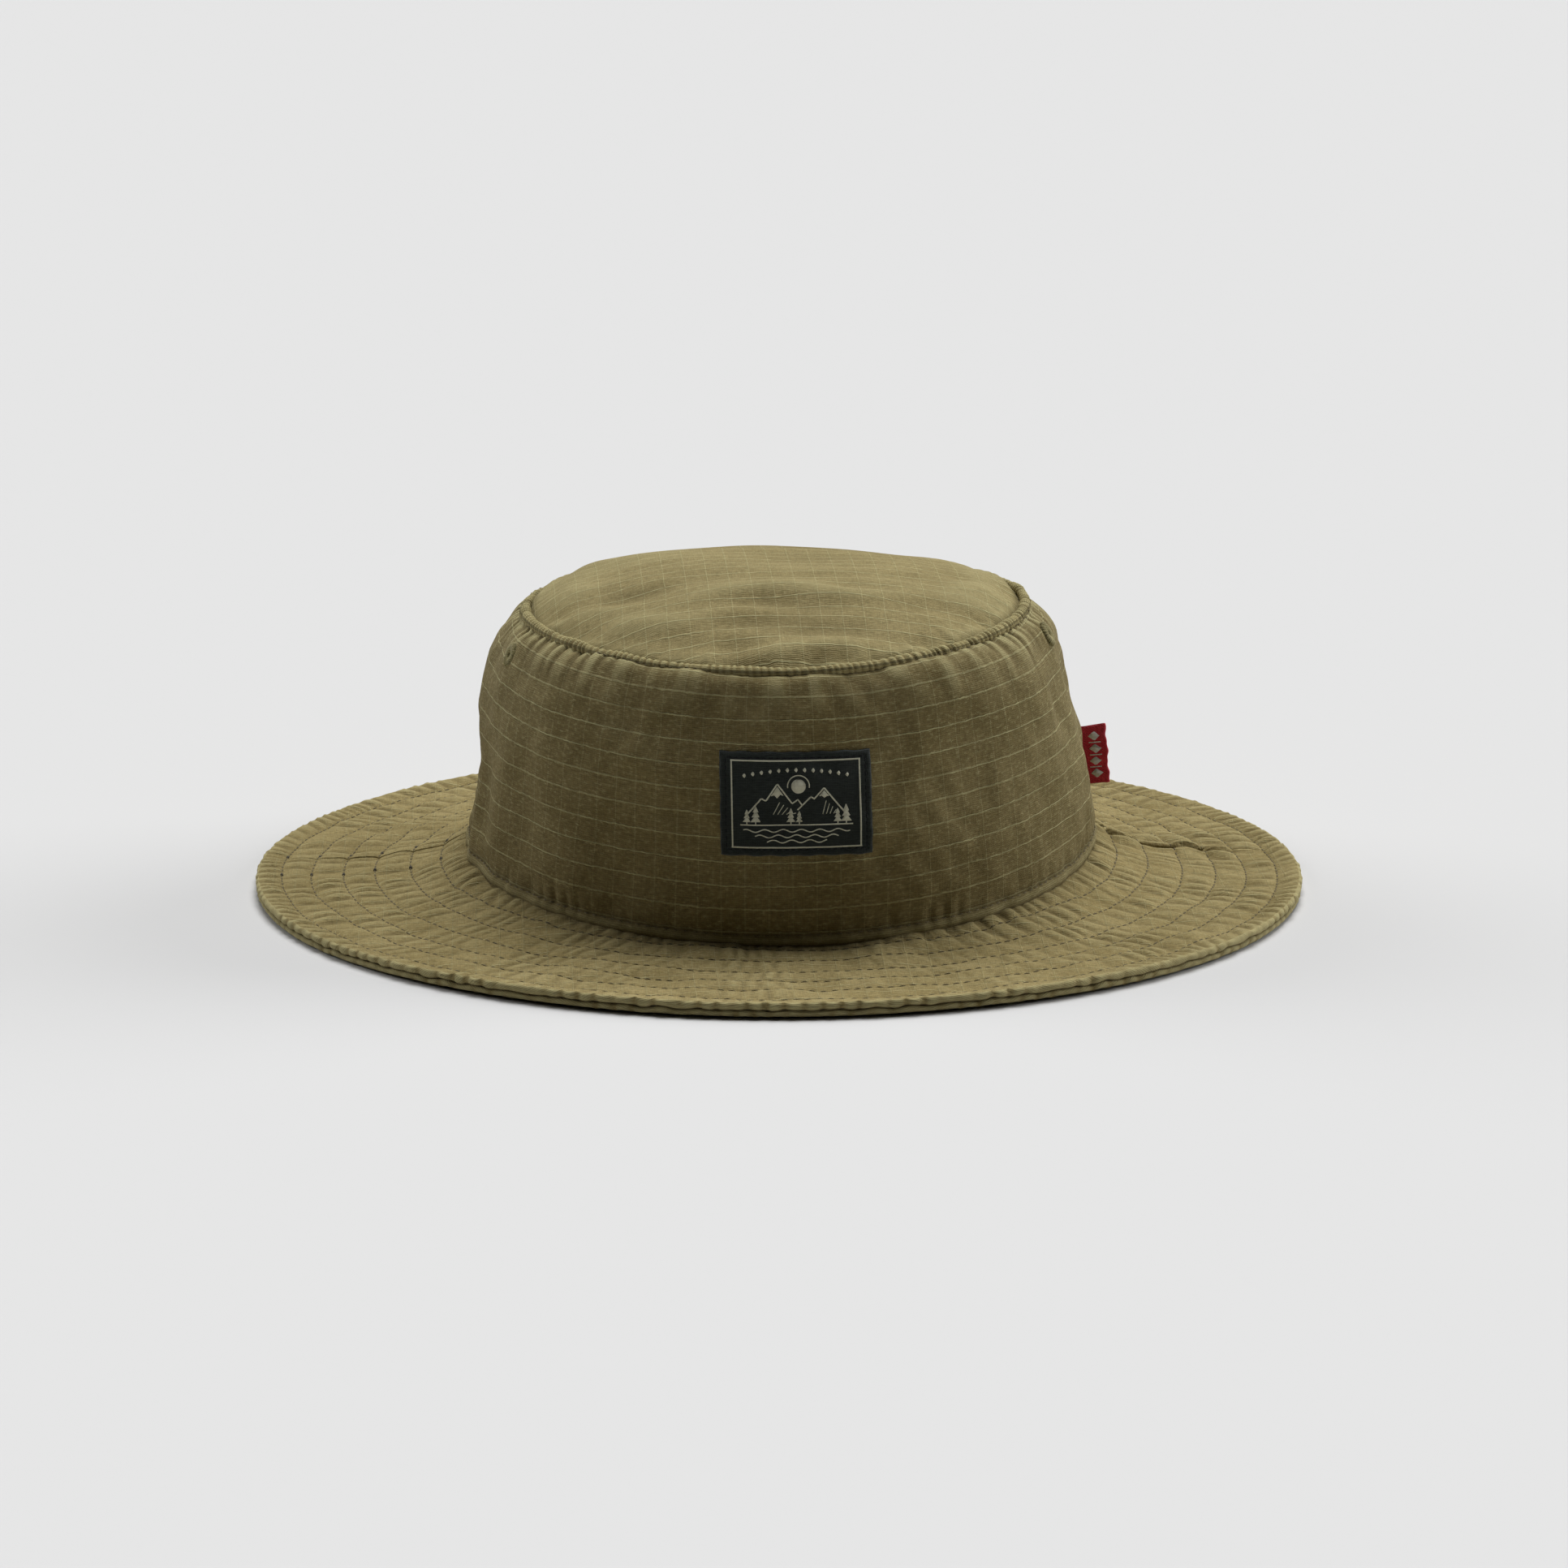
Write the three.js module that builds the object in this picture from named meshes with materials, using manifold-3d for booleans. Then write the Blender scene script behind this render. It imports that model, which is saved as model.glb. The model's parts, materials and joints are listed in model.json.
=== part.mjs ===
// Wide-brimmed cotton ripstop bucket hat, cut and sewn, standing on its brim.
// Millimetres. +Z up, the front of the hat faces -Y, the wearer's left is +X.
// The origin is on the surface that the hat stands on, under the middle of the brim.
//
// The hat is made of thin sheets, so each sheet is one closed solid. A sheet is turned as a lathe ring or
// bent from a box in its own flat space, then every vertex is placed on the surface that the sheet follows.
import * as THREE from "three";
import { mergeVertices } from "three/addons/utils/BufferGeometryUtils.js";
import Module from "manifold-3d";

const wasm = await Module();
wasm.setup();

// ---- Driving dimensions ----
const GAP = 0.3; // kept between sheets that are sewn together
const SEGMENTS = 60; // facets around the hat
const CLOTH = 1.0; // crown cloth with its seam allowances

// The three ovals that set the shape: half width along X, half length along Y.
const CROWN_BASE = { a: 92, b: 100 };
const CROWN_TOP = { a: 72.8, b: 85.2, x: -1, y: 2.1 }; // its middle is a little to the right and back
const BRIM_EDGE = { a: 154.2, b: 156.6 };

// Heights of the base seam and the top seam, as a mean with a first and second wave around the hat.
const BASE_SEAM = { mean: 10.4, front: -2.9, right: 1.1, second: -2.0 };
const TOP_SEAM = { mean: 80.5, front: 1.2, right: 1.4, second: -2.0 };
const DOME = { rise: 16.1, fullness: 2.6 }; // middle of the tip above the top seam, and its profile
const WALL = { lean: 1.3, shoulder: 0.36, crowding: 2.2 }; // profile of the side wall
const FOOT_TUCK = 3; // the crown wall runs on below the base seam, beside the brim's inner edge

const BRIM_TOP = 0.9;
const BRIM_STIFFENER = 0.8;
const BRIM_UNDER = 0.9;
const BRIM_STACK = BRIM_TOP + BRIM_STIFFENER + BRIM_UNDER + 2 * GAP;
const BRIM_CURL = 3.5; // how quickly the brim levels out away from the crown
const EDGE_INSET = 1.6; // the stiffener stops short of the turned edge
const FLAT_RIM = 0.9; // share of the brim's width from which its underside is level

const BRIM_CLEAR = 0.4; // between the brim's inner edge and the crown's foot
const BRIM_ROWS = [0.08, 0.2, 0.45]; // shares of the brim's width

const SEAM_Y = 14.5; // side seams of crown and brim, a little behind the middle
const FOLD_Y = 106; // straight fold lines of the brim, in front of and behind the crown
const FOLD_GAP = 2;

const WELT = { radius: 1.6, lift: 0.4, sides: 7 };
const SWEATBAND = { height: 32, thickness: 1.0, depth: 2.5, foot: 0.005 };
const TAPE = { width: 12, thickness: 0.5, depth: 1.6, bottom: 12, top: 70 };
const TIP_TAPE_ROWS = [0.84, 0.88, 0.92]; // shares of the wall, up to the last row of its cloth
const WALL_ROWS = [0, 0.25, 0.45, 0.62, 0.78, 0.92]; // closer together where the wall curves most
const TIP_RINGS = { count: 4, crowding: 0.8 };
const EYELET = { hole: 1.5, barrel: 2.2, flange: 3.9, lip: 0.7, sag: 0.6, drill: 12, facets: 12 };
const EYELET_FROM_SEAM = 24.3; // degrees round the hat, to the front or the back
const EYELET_HEIGHTS = { front_left: 78.6, front_right: 74, back_left: 75, back_right: 72 };
const PATCH = { width: 42, height: 28.5, thickness: 0.8, z: 45 };
const TAB = { height: 17.5, width: 7.5, thickness: 1.2, z: 33, root: 1.2, lean: 5 };
const SIZE_LABEL = { width: 30, height: 16, thickness: 0.5, z: 24 };
const CARE_LABEL = { width: 20, height: 24, thickness: 0.7, top: 52, clear: 7 };

const CLOTH_COLOUR = "#8b7d55";
const UNDER_COLOUR = "#847650";

// ---- Surfaces ----
const wave = (w, t) =>
  w.mean + w.front * Math.cos(t) + w.right * Math.sin(t) + w.second * Math.cos(2 * t);
const mix = (p, q, k) => p + (q - p) * k;

// Crown wall: t runs around from the front towards +X, w from the foot (0) to the top seam (1).
function wallPoint(t, w) {
  const rise = 1 - Math.pow(1 - w, WALL.crowding);
  const spread = Math.pow(1 - Math.pow(rise, WALL.lean), WALL.shoulder);
  const a = mix(CROWN_TOP.a, CROWN_BASE.a, spread);
  const b = mix(CROWN_TOP.b, CROWN_BASE.b, spread);
  const foot = wave(BASE_SEAM, t) - FOOT_TUCK;
  return new THREE.Vector3(
    a * Math.sin(t) + CROWN_TOP.x * (1 - spread),
    -b * Math.cos(t) + CROWN_TOP.y * (1 - spread),
    mix(foot, wave(TOP_SEAM, t), rise),
  );
}

function wallNormal(t, w) {
  const step = 1e-3;
  const low = Math.max(w - step, 0);
  const high = Math.min(w + step, 1);
  const around = wallPoint(t + step, w).sub(wallPoint(t - step, w));
  const upwards = wallPoint(t, high).sub(wallPoint(t, low));
  return around.cross(upwards).normalize();
}

const wallAt = (t, w, depth) =>
  wallPoint(t, w).addScaledVector(wallNormal(t, w), -depth);

// The wall parameter w at which the wall reaches a height above the base plane.
function wallRow(t, z) {
  let low = 0;
  let high = 1;
  for (let i = 0; i < 30; i++) {
    const middle = (low + high) / 2;
    if (wallPoint(t, middle).z < z) low = middle;
    else high = middle;
  }
  return (low + high) / 2;
}

// Tip: a shallow dome, rho from the middle (0) to the top seam (1).
function tipAt(t, rho, depth) {
  const seam = wave(TOP_SEAM, t);
  const z = mix(TOP_SEAM.mean, seam, rho * rho) + DOME.rise * (1 - Math.pow(rho, DOME.fullness));
  return new THREE.Vector3(
    rho * CROWN_TOP.a * Math.sin(t) + CROWN_TOP.x,
    -rho * CROWN_TOP.b * Math.cos(t) + CROWN_TOP.y,
    z - depth,
  );
}

// Brim: s from the base seam (0) to the edge (1), depth straight down from its upper face.
function brimAt(t, s, depth) {
  const a = mix(CROWN_BASE.a, BRIM_EDGE.a, s);
  const b = mix(CROWN_BASE.b, BRIM_EDGE.b, s);
  const level = Math.min(s / FLAT_RIM, 1);
  const lift = (wave(BASE_SEAM, t) - BRIM_STACK) * Math.pow(1 - level, BRIM_CURL);
  return new THREE.Vector3(a * Math.sin(t), -b * Math.cos(t), BRIM_STACK + lift - depth);
}

// ---- Making solids ----
const FLAT_RADIUS = 100; // of rings and discs before they are placed
const FAR = 400; // beyond the hat in every direction

// Sets each vertex of a geometry by place(x, y, z), and turns the faces if they then point inwards.
function bent(geometry, place) {
  geometry.deleteAttribute("normal");
  geometry.deleteAttribute("uv");
  const position = geometry.getAttribute("position");
  for (let i = 0; i < position.count; i++) {
    const p = place(position.getX(i), position.getY(i), position.getZ(i));
    position.setXYZ(i, p.x, p.y, p.z);
  }
  const merged = mergeVertices(geometry, 1e-4);
  const index = merged.index.array;
  const a = new THREE.Vector3();
  const b = new THREE.Vector3();
  const c = new THREE.Vector3();
  let volume = 0;
  const corners = merged.getAttribute("position");
  for (let i = 0; i < index.length; i += 3) {
    a.fromBufferAttribute(corners, index[i]);
    b.fromBufferAttribute(corners, index[i + 1]);
    c.fromBufferAttribute(corners, index[i + 2]);
    volume += a.dot(b.cross(c));
  }
  if (volume < 0) {
    for (let i = 0; i < index.length; i += 3) {
      [index[i + 1], index[i + 2]] = [index[i + 2], index[i + 1]];
    }
  }
  return merged;
}

// A ring around the hat from a closed outline of [along, depth] pairs, placed by surface(t, along, depth).
function ringOf(outline, surface) {
  const points = [...outline, outline[0]].map(
    ([along, depth]) => new THREE.Vector2(FLAT_RADIUS + depth, along),
  );
  const lathe = new THREE.LatheGeometry(points, SEGMENTS);
  return bent(lathe, (x, y, z) =>
    surface(Math.atan2(x, z), y, Math.hypot(x, z) - FLAT_RADIUS),
  );
}

// The outline of a sheet: rows of `along` values on the outer face, and back on the inner face.
const sheetOutline = (rows, outer, inner) => [
  ...rows.map((row) => [row, outer]),
  ...[...rows].reverse().map((row) => [row, inner]),
];

const rowsBetween = (from, to, count) =>
  Array.from({ length: count + 1 }, (_, i) => mix(from, to, i / count));

// A rectangular strip bent onto the wall, centred at (t, z), lying between two depths.
function stripOnWall(centre, z, width, height, outer, inner, columns, rows) {
  const box = new THREE.BoxGeometry(width, height, inner - outer, columns, rows, 1);
  const row = wallRow(centre, z);
  const step = 1e-3;
  const ahead = wallPoint(centre + step, row);
  const arcPerTurn = ahead.distanceTo(wallPoint(centre - step, row)) / (2 * step);
  return bent(box, (x, y, depth) => {
    const t = centre + x / arcPerTurn;
    return wallAt(t, wallRow(t, z + y), (inner + outer) / 2 + depth);
  });
}

function toSolid(geometry) {
  const plain = geometry.index ? geometry : mergeVertices(geometry, 1e-4);
  return new wasm.Manifold(
    new wasm.Mesh({
      numProp: 3,
      vertProperties: new Float32Array(plain.getAttribute("position").array),
      triVerts: new Uint32Array(plain.index.array),
    }),
  );
}

function toGeometry(solid) {
  const mesh = solid.getMesh();
  return new THREE.BufferGeometry()
    .setAttribute("position", new THREE.BufferAttribute(mesh.vertProperties, 3))
    .setIndex(new THREE.BufferAttribute(mesh.triVerts, 1));
}

// The part of a geometry that lies between two planes of constant Y.
function between(geometry, lowY, highY) {
  const box = new THREE.BoxGeometry(FAR, highY - lowY, FAR);
  box.translate(0, (lowY + highY) / 2, 0);
  return toGeometry(toSolid(geometry).intersect(toSolid(bent(box, asIs))));
}

const asIs = (x, y, z) => new THREE.Vector3(x, y, z);

const hat = new THREE.Group();

function add(name, geometry, color, roughness = 0.92) {
  const material = new THREE.MeshStandardMaterial({ color, roughness, metalness: 0 });
  const mesh = new THREE.Mesh(geometry, material);
  mesh.name = name;
  hat.add(mesh);
}

// ---- Crown ----
const SEAM_T = Math.PI / 2 + Math.asin(SEAM_Y / CROWN_BASE.b);

function eyeletFrames() {
  const offset = THREE.MathUtils.degToRad(EYELET_FROM_SEAM);
  return Object.entries(EYELET_HEIGHTS).map(([name, height]) => {
    const side = name.endsWith("left") ? 1 : -1;
    const t = side * (name.startsWith("front") ? SEAM_T - offset : SEAM_T + offset);
    const w = wallRow(t, height);
    const turn = new THREE.Quaternion().setFromUnitVectors(
      new THREE.Vector3(0, 1, 0),
      wallNormal(t, w),
    );
    const matrix = new THREE.Matrix4().compose(
      wallAt(t, w, CLOTH / 2),
      turn,
      new THREE.Vector3(1, 1, 1),
    );
    return { name, matrix };
  });
}

function crownSides() {
  let wall = toSolid(ringOf(sheetOutline(WALL_ROWS, 0, CLOTH), wallAt));
  for (const { matrix } of eyeletFrames()) {
    const drill = new THREE.CylinderGeometry(
      EYELET.barrel + GAP,
      EYELET.barrel + GAP,
      EYELET.drill,
      EYELET.facets,
    );
    drill.applyMatrix4(matrix);
    wall = wall.subtract(toSolid(bent(drill, asIs)));
  }
  const whole = toGeometry(wall);
  add("crown_side_front", between(whole, -FAR, SEAM_Y - GAP / 2), CLOTH_COLOUR);
  add("crown_side_back", between(whole, SEAM_Y + GAP / 2, FAR), CLOTH_COLOUR);
}

function crownTip() {
  const lastRing = 1 - (WELT.radius + GAP) / CROWN_TOP.a;
  const rings = rowsBetween(0, 1, TIP_RINGS.count).map(
    (k) => lastRing * Math.pow(k, TIP_RINGS.crowding),
  );
  const points = [
    ...rings.map((rho) => new THREE.Vector2(rho * FLAT_RADIUS, 0)),
    ...[...rings].reverse().map((rho) => new THREE.Vector2(rho * FLAT_RADIUS, CLOTH)),
  ];
  const disc = new THREE.LatheGeometry(points, SEGMENTS);
  const placed = bent(disc, (x, y, z) =>
    tipAt(Math.atan2(x, z), Math.hypot(x, z) / FLAT_RADIUS, y),
  );
  add("crown_tip", placed, CLOTH_COLOUR);
}

// The rolled seam that joins the tip to the side panels and stands a little proud.
function crownWelt() {
  const outline = Array.from({ length: WELT.sides }, (_, i) => {
    const angle = (i / WELT.sides) * 2 * Math.PI;
    return [WELT.radius * Math.sin(angle), WELT.radius * Math.cos(angle)];
  });
  const place = (t, along, depth) =>
    new THREE.Vector3(
      (CROWN_TOP.a + depth) * Math.sin(t) + CROWN_TOP.x,
      -(CROWN_TOP.b + depth) * Math.cos(t) + CROWN_TOP.y,
      wave(TOP_SEAM, t) + WELT.lift + along,
    );
  add("crown_welt", ringOf(outline, place), "#958a62");
}

// An embroidered ventilation eyelet: a spool of thread through the cloth with a lip on each face. The
// cloth curves away from the inner lip, so that lip stands further off.
function eyelets() {
  const front = CLOTH / 2 + GAP + EYELET.sag / 2;
  const back = CLOTH / 2 + GAP + EYELET.sag;
  const profile = [
    [EYELET.hole, -back - EYELET.lip],
    [EYELET.flange, -back - EYELET.lip],
    [EYELET.flange, -back],
    [EYELET.barrel, -back],
    [EYELET.barrel, front],
    [EYELET.flange, front],
    [EYELET.flange, front + EYELET.lip],
    [EYELET.hole, front + EYELET.lip],
    [EYELET.hole, -back - EYELET.lip],
  ].map(([r, h]) => new THREE.Vector2(r, h));
  for (const { name, matrix } of eyeletFrames()) {
    const ring = new THREE.LatheGeometry(profile, EYELET.facets);
    ring.applyMatrix4(matrix);
    add(`eyelet_${name}`, bent(ring, asIs), "#6f6a3c");
  }
}

// ---- Inside the crown ----
function sweatband() {
  const inner = SWEATBAND.depth + SWEATBAND.thickness;
  const top = wallRow(SEAM_T, BASE_SEAM.mean + SWEATBAND.height);
  const rows = rowsBetween(SWEATBAND.foot, top, 2);
  const band = ringOf(sheetOutline(rows, SWEATBAND.depth, inner), wallAt);
  add("sweatband", band, "#6e6544");
}

function seamTapes() {
  const height = TAPE.top - TAPE.bottom;
  for (const [side, sign] of [
    ["left", 1],
    ["right", -1],
  ]) {
    const strip = stripOnWall(
      sign * SEAM_T,
      (TAPE.bottom + TAPE.top) / 2,
      TAPE.width,
      height,
      TAPE.depth,
      TAPE.depth + TAPE.thickness,
      2,
      8,
    );
    add(`side_seam_tape_${side}`, strip, "#5b5436");
  }
  const section = sheetOutline(TIP_TAPE_ROWS, TAPE.depth, TAPE.depth + TAPE.thickness);
  add("tip_seam_tape", ringOf(section, wallAt), "#5b5436");
}

function sizeLabel() {
  const outer = SWEATBAND.depth + SWEATBAND.thickness + GAP;
  const label = stripOnWall(
    Math.PI,
    SIZE_LABEL.z,
    SIZE_LABEL.width,
    SIZE_LABEL.height,
    outer,
    outer + SIZE_LABEL.thickness,
    6,
    1,
  );
  add("size_label", label, "#23262a");
}

// A folded care label, sewn by its top edge above the sweatband and hanging inside the back.
function careLabel() {
  const back = wallAt(Math.PI, wallRow(Math.PI, CARE_LABEL.top), CARE_LABEL.clear);
  const label = new THREE.BoxGeometry(CARE_LABEL.width, CARE_LABEL.thickness, CARE_LABEL.height);
  label.translate(0, back.y, CARE_LABEL.top - CARE_LABEL.height / 2);
  add("care_label", bent(label, asIs), "#e9e7e0");
}

// ---- Outside trims ----
function frontPatch() {
  const patch = stripOnWall(
    0,
    PATCH.z,
    PATCH.width,
    PATCH.height,
    -GAP - PATCH.thickness,
    -GAP,
    10,
    4,
  );
  add("front_patch", patch, "#23262a", 0.8);
}

// A folded woven tab caught in the side seam on the +X side. It stands straight out from the wall.
function sideTab() {
  const tilt = THREE.MathUtils.degToRad(TAB.lean);
  const wallThere = wallPoint(SEAM_T, wallRow(SEAM_T, TAB.z));
  const tab = new THREE.BoxGeometry(TAB.width, TAB.thickness, TAB.height);
  tab.translate(TAB.width / 2 + TAB.root, 0, 0);
  tab.rotateY(-tilt);
  tab.translate(wallThere.x, wallThere.y, TAB.z);
  add("side_tab", bent(tab, asIs), "#a3232b", 0.75);
}

// ---- Brim ----
// Each layer is a front and a back half, joined at the side seams, and each half has a straight fold where
// the brim turns up. The strip beyond the fold is its own solid, so that it can move.
function brimLayer(name, outer, inner, edge, color) {
  const start = BRIM_CLEAR / (BRIM_EDGE.a - CROWN_BASE.a);
  const rows = [start, ...BRIM_ROWS, Math.min(FLAT_RIM, edge), edge].filter(
    (row, i, all) => i === 0 || row > all[i - 1],
  );
  const ring = ringOf(sheetOutline(rows, outer, inner), brimAt);
  const half = FOLD_GAP / 2;
  add(`${name}_front`, between(ring, -FOLD_Y + half, SEAM_Y - GAP / 2), color);
  add(`${name}_back`, between(ring, SEAM_Y + GAP / 2, FOLD_Y - half), color);
  add(`${name}_front_flap`, between(ring, -FAR, -FOLD_Y - half), color);
  add(`${name}_back_flap`, between(ring, FOLD_Y + half, FAR), color);
}

function brim() {
  const underTop = BRIM_STACK - BRIM_UNDER;
  const stiffTop = BRIM_TOP + GAP;
  const stiffEdge = 1 - EDGE_INSET / (BRIM_EDGE.a - CROWN_BASE.a);
  brimLayer("brim_top", 0, BRIM_TOP, 1, CLOTH_COLOUR);
  brimLayer("brim_stiffener", stiffTop, stiffTop + BRIM_STIFFENER, stiffEdge, "#d8d5c8");
  brimLayer("brim_under", underTop, BRIM_STACK, 1, UNDER_COLOUR);
}

crownSides();
crownTip();
crownWelt();
eyelets();
sweatband();
seamTapes();
sizeLabel();
careLabel();
frontPatch();
sideTab();
brim();

export default hat;
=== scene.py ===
"""Looks of the bucket hat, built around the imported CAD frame.

Every cloth panel is a closed shell on the CAD's own surface, with its puckers, gathers, seams and turned
edge in the mesh, and every stitch is a small piece of thread. Lengths are in millimetres until a mesh is
made. The front of the hat faces -Y; an angle t runs round the hat from the front towards +X.
"""

import json
import math

import bpy
import numpy as np
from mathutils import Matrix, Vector


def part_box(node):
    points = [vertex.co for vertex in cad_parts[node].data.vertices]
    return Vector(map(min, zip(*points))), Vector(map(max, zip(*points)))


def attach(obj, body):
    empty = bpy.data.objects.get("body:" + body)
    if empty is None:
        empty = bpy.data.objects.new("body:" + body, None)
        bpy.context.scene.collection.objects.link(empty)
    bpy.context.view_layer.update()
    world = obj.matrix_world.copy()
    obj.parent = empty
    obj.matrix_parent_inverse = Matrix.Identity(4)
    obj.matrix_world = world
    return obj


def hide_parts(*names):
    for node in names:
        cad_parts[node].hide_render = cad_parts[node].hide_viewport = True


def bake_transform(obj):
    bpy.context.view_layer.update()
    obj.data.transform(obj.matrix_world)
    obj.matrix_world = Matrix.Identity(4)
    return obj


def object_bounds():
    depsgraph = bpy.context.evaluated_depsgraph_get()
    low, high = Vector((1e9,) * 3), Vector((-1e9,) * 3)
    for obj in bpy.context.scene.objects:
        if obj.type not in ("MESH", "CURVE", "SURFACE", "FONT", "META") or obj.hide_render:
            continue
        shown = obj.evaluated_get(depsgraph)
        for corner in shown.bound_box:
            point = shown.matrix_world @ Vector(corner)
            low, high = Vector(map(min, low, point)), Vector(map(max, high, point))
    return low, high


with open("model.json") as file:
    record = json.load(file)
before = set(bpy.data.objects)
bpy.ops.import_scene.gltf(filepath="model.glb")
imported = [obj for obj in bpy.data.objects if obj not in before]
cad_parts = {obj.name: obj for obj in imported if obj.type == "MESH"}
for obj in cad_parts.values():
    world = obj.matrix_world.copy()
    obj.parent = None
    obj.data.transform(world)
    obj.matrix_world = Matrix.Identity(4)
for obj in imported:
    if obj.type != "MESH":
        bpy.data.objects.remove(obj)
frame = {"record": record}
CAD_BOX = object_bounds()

TAU = 2 * math.pi
MM = 0.001


# ---------------------------------------------------------------- sizes from the frame
def span(node):
    """A node's lowest and highest corners, in millimetres."""
    low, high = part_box(node)
    return np.array(low) / MM, np.array(high) / MM


def pivot(joint):
    """A point on a joint's axis, in millimetres."""
    found = next(j for j in frame["record"]["behaviour"]["joints"] if j["name"] == joint)
    return np.array(found["pos_m"]) / MM


SIDE_LOW, SIDE_HIGH = span("crown_side_front")
WELT_LOW, WELT_HIGH = span("crown_welt")
WELT_R = 1.6
BASE_A, BASE_B = SIDE_HIGH[0], -SIDE_LOW[1]
TOP_A = (WELT_HIGH[0] - WELT_LOW[0]) / 2 - WELT_R
TOP_B = (WELT_HIGH[1] - WELT_LOW[1]) / 2 - WELT_R
TOP_SHIFT = (WELT_HIGH[1] + WELT_LOW[1]) / 2
TOP_LEAN = (WELT_HIGH[0] + WELT_LOW[0]) / 2
EDGE_A = span("brim_top_front")[1][0]
EDGE_B = -span("brim_top_front_flap")[0][1]
TIP_HIGH = span("crown_tip")[1][2]
SEAM_Y = (span("brim_top_front")[1][1] + span("brim_top_back")[0][1]) / 2
PATCH_LOW, PATCH_HIGH = span("front_patch")
TAB_HIGH = span("side_tab")[1]
EYELETS = [f"eyelet_{corner}" for corner in ("front_left", "front_right", "back_left", "back_right")]
EYELET_PLACES = [sum(span(node)) / 2 for node in EYELETS]

# The seams' heights as a mean and waves round the hat, and the profiles, as in the CAD model.
BASE_WAVE = (10.4, -2.9, 1.1, -2.0)
TOP_WAVE = (80.5, 1.2, 1.4, -2.0)
DOME_FULLNESS = 2.7
DOME_RISE = TIP_HIGH - TOP_WAVE[0]
FOOT_TUCK = 3.0
BRIM_STACK = 3.2
BRIM_CURL = 3.5
FLAT_RIM = 0.9

# Details that only the looks have.
STITCH_ROWS = (7.2, 16.7, 25.8, 35.0, 45.2, 54.2)  # from the brim's edge
ROW_GAP = 9.5  # a band's usual width
STITCH = 3.1  # pitch
GRID = 6.6  # ripstop squares
UPPER_ROLL = {"radius": 1.05, "z": 2.9, "inset": 0.0}
LOWER_ROLL = {"radius": 0.9, "z": 0.9, "inset": 0.25}
CLOTH = 0.96  # thickness of the crown's cloth
HUG = 0.85  # share of the wall's relief that the parts inside follow
BRIM_FACE = 0.55  # level of the lower cloth's outer face
BRIM_INNER = {"top": 1.15, "under": 0.6}  # from the level of each cloth's outer face to its inner one
DEEPEST = 0.85  # how far a pucker may sink into the brim's upper cloth
PLATE = (1.40, 1.80)  # levels of the interlining's two faces
BEND = (-4.2, 9.8)  # a stretch round the brim's fold line, measured outward from it


# ---------------------------------------------------------------- noise, all of it seeded
def ring_noise(seed, t, low, high, count=36):
    """Smooth noise round the hat, about -2 to 2, with between low and high waves in a turn."""
    rng = np.random.default_rng(seed)
    total = np.zeros(np.shape(t))
    for turns, phase in zip(rng.integers(low, high + 1, count), rng.uniform(0, TAU, count)):
        total += np.cos(turns * t + phase)
    return total / math.sqrt(count / 2)


def cloud(seed, points, length, count=28):
    """Smooth noise in space, about -2 to 2, with waves of about the given length."""
    rng = np.random.default_rng(seed)
    total = np.zeros(points.shape[:-1])
    for _ in range(count):
        way = rng.normal(size=3)
        way *= TAU / length * rng.uniform(0.6, 1.4) / np.linalg.norm(way)
        total += np.cos(points @ way + rng.uniform(0, TAU))
    return total / math.sqrt(count / 2)


def step(x, low, high):
    """0 below low, 1 above high, and smooth between."""
    k = np.clip((x - low) / (high - low), 0, 1)
    return k * k * (3 - 2 * k)


def bell(x, width):
    """1 at 0, fading to 0 on both sides."""
    return np.exp(-((x / width) ** 2))


def puffed(n, sharp=0.9):
    """Turns even noise into round bulges with narrow creases between them."""
    return (1 - np.exp(-sharp * np.maximum(n, -1.6))) * 0.8 / sharp


def bulges(seed, t, count, wander=1.4):
    """Fairly even bulges round the hat, 0 to about 1, with narrow creases between them."""
    phase = count * t + wander * ring_noise(seed, t, 4, count // 4)
    size = 0.80 + 0.25 * ring_noise(seed + 500, t, count // 6, count // 2)
    return (0.5 + 0.5 * np.cos(phase)) ** 0.55 * np.clip(size, 0.15, 1.4)


# ---------------------------------------------------------------- the hat's surfaces
def wave(w, t):
    """A seam's height round the hat."""
    return w[0] + w[1] * np.cos(t) + w[2] * np.sin(t) + w[3] * np.cos(2 * t)


def oval(a, b, t, shift=0.0):
    """Places on an oval, as x and y. shift is 1 where the oval is centred as the crown's top is."""
    return a * np.sin(t) + TOP_LEAN * shift, -b * np.cos(t) + TOP_SHIFT * shift


def turn_gap(t, degrees):
    """The turn from a direction to t, the short way round."""
    return (t - math.radians(degrees) + math.pi) % TAU - math.pi


def wall_base(t, w):
    """The CAD wall: w from the foot, 0, to the top seam, 1."""
    rise = 1 - (1 - w) ** 2.2
    spread = (1 - rise**1.3) ** 0.36
    a = TOP_A + (BASE_A - TOP_A) * spread
    b = TOP_B + (BASE_B - TOP_B) * spread
    foot = wave(BASE_WAVE, t) - FOOT_TUCK
    z = foot + (wave(TOP_WAVE, t) - foot) * rise
    return np.stack([*oval(a, b, t, 1 - spread), z], -1)


def wall_normal(t, w):
    """The direction straight out of the CAD wall."""
    e = 1e-4
    across = wall_base(t + e, w) - wall_base(t - e, w)
    along = wall_base(t, np.minimum(w + e, 1 - 1e-7)) - wall_base(t, np.maximum(w - e, 0))
    n = np.cross(across, along)
    return n / np.linalg.norm(n, axis=-1, keepdims=True)


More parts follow.
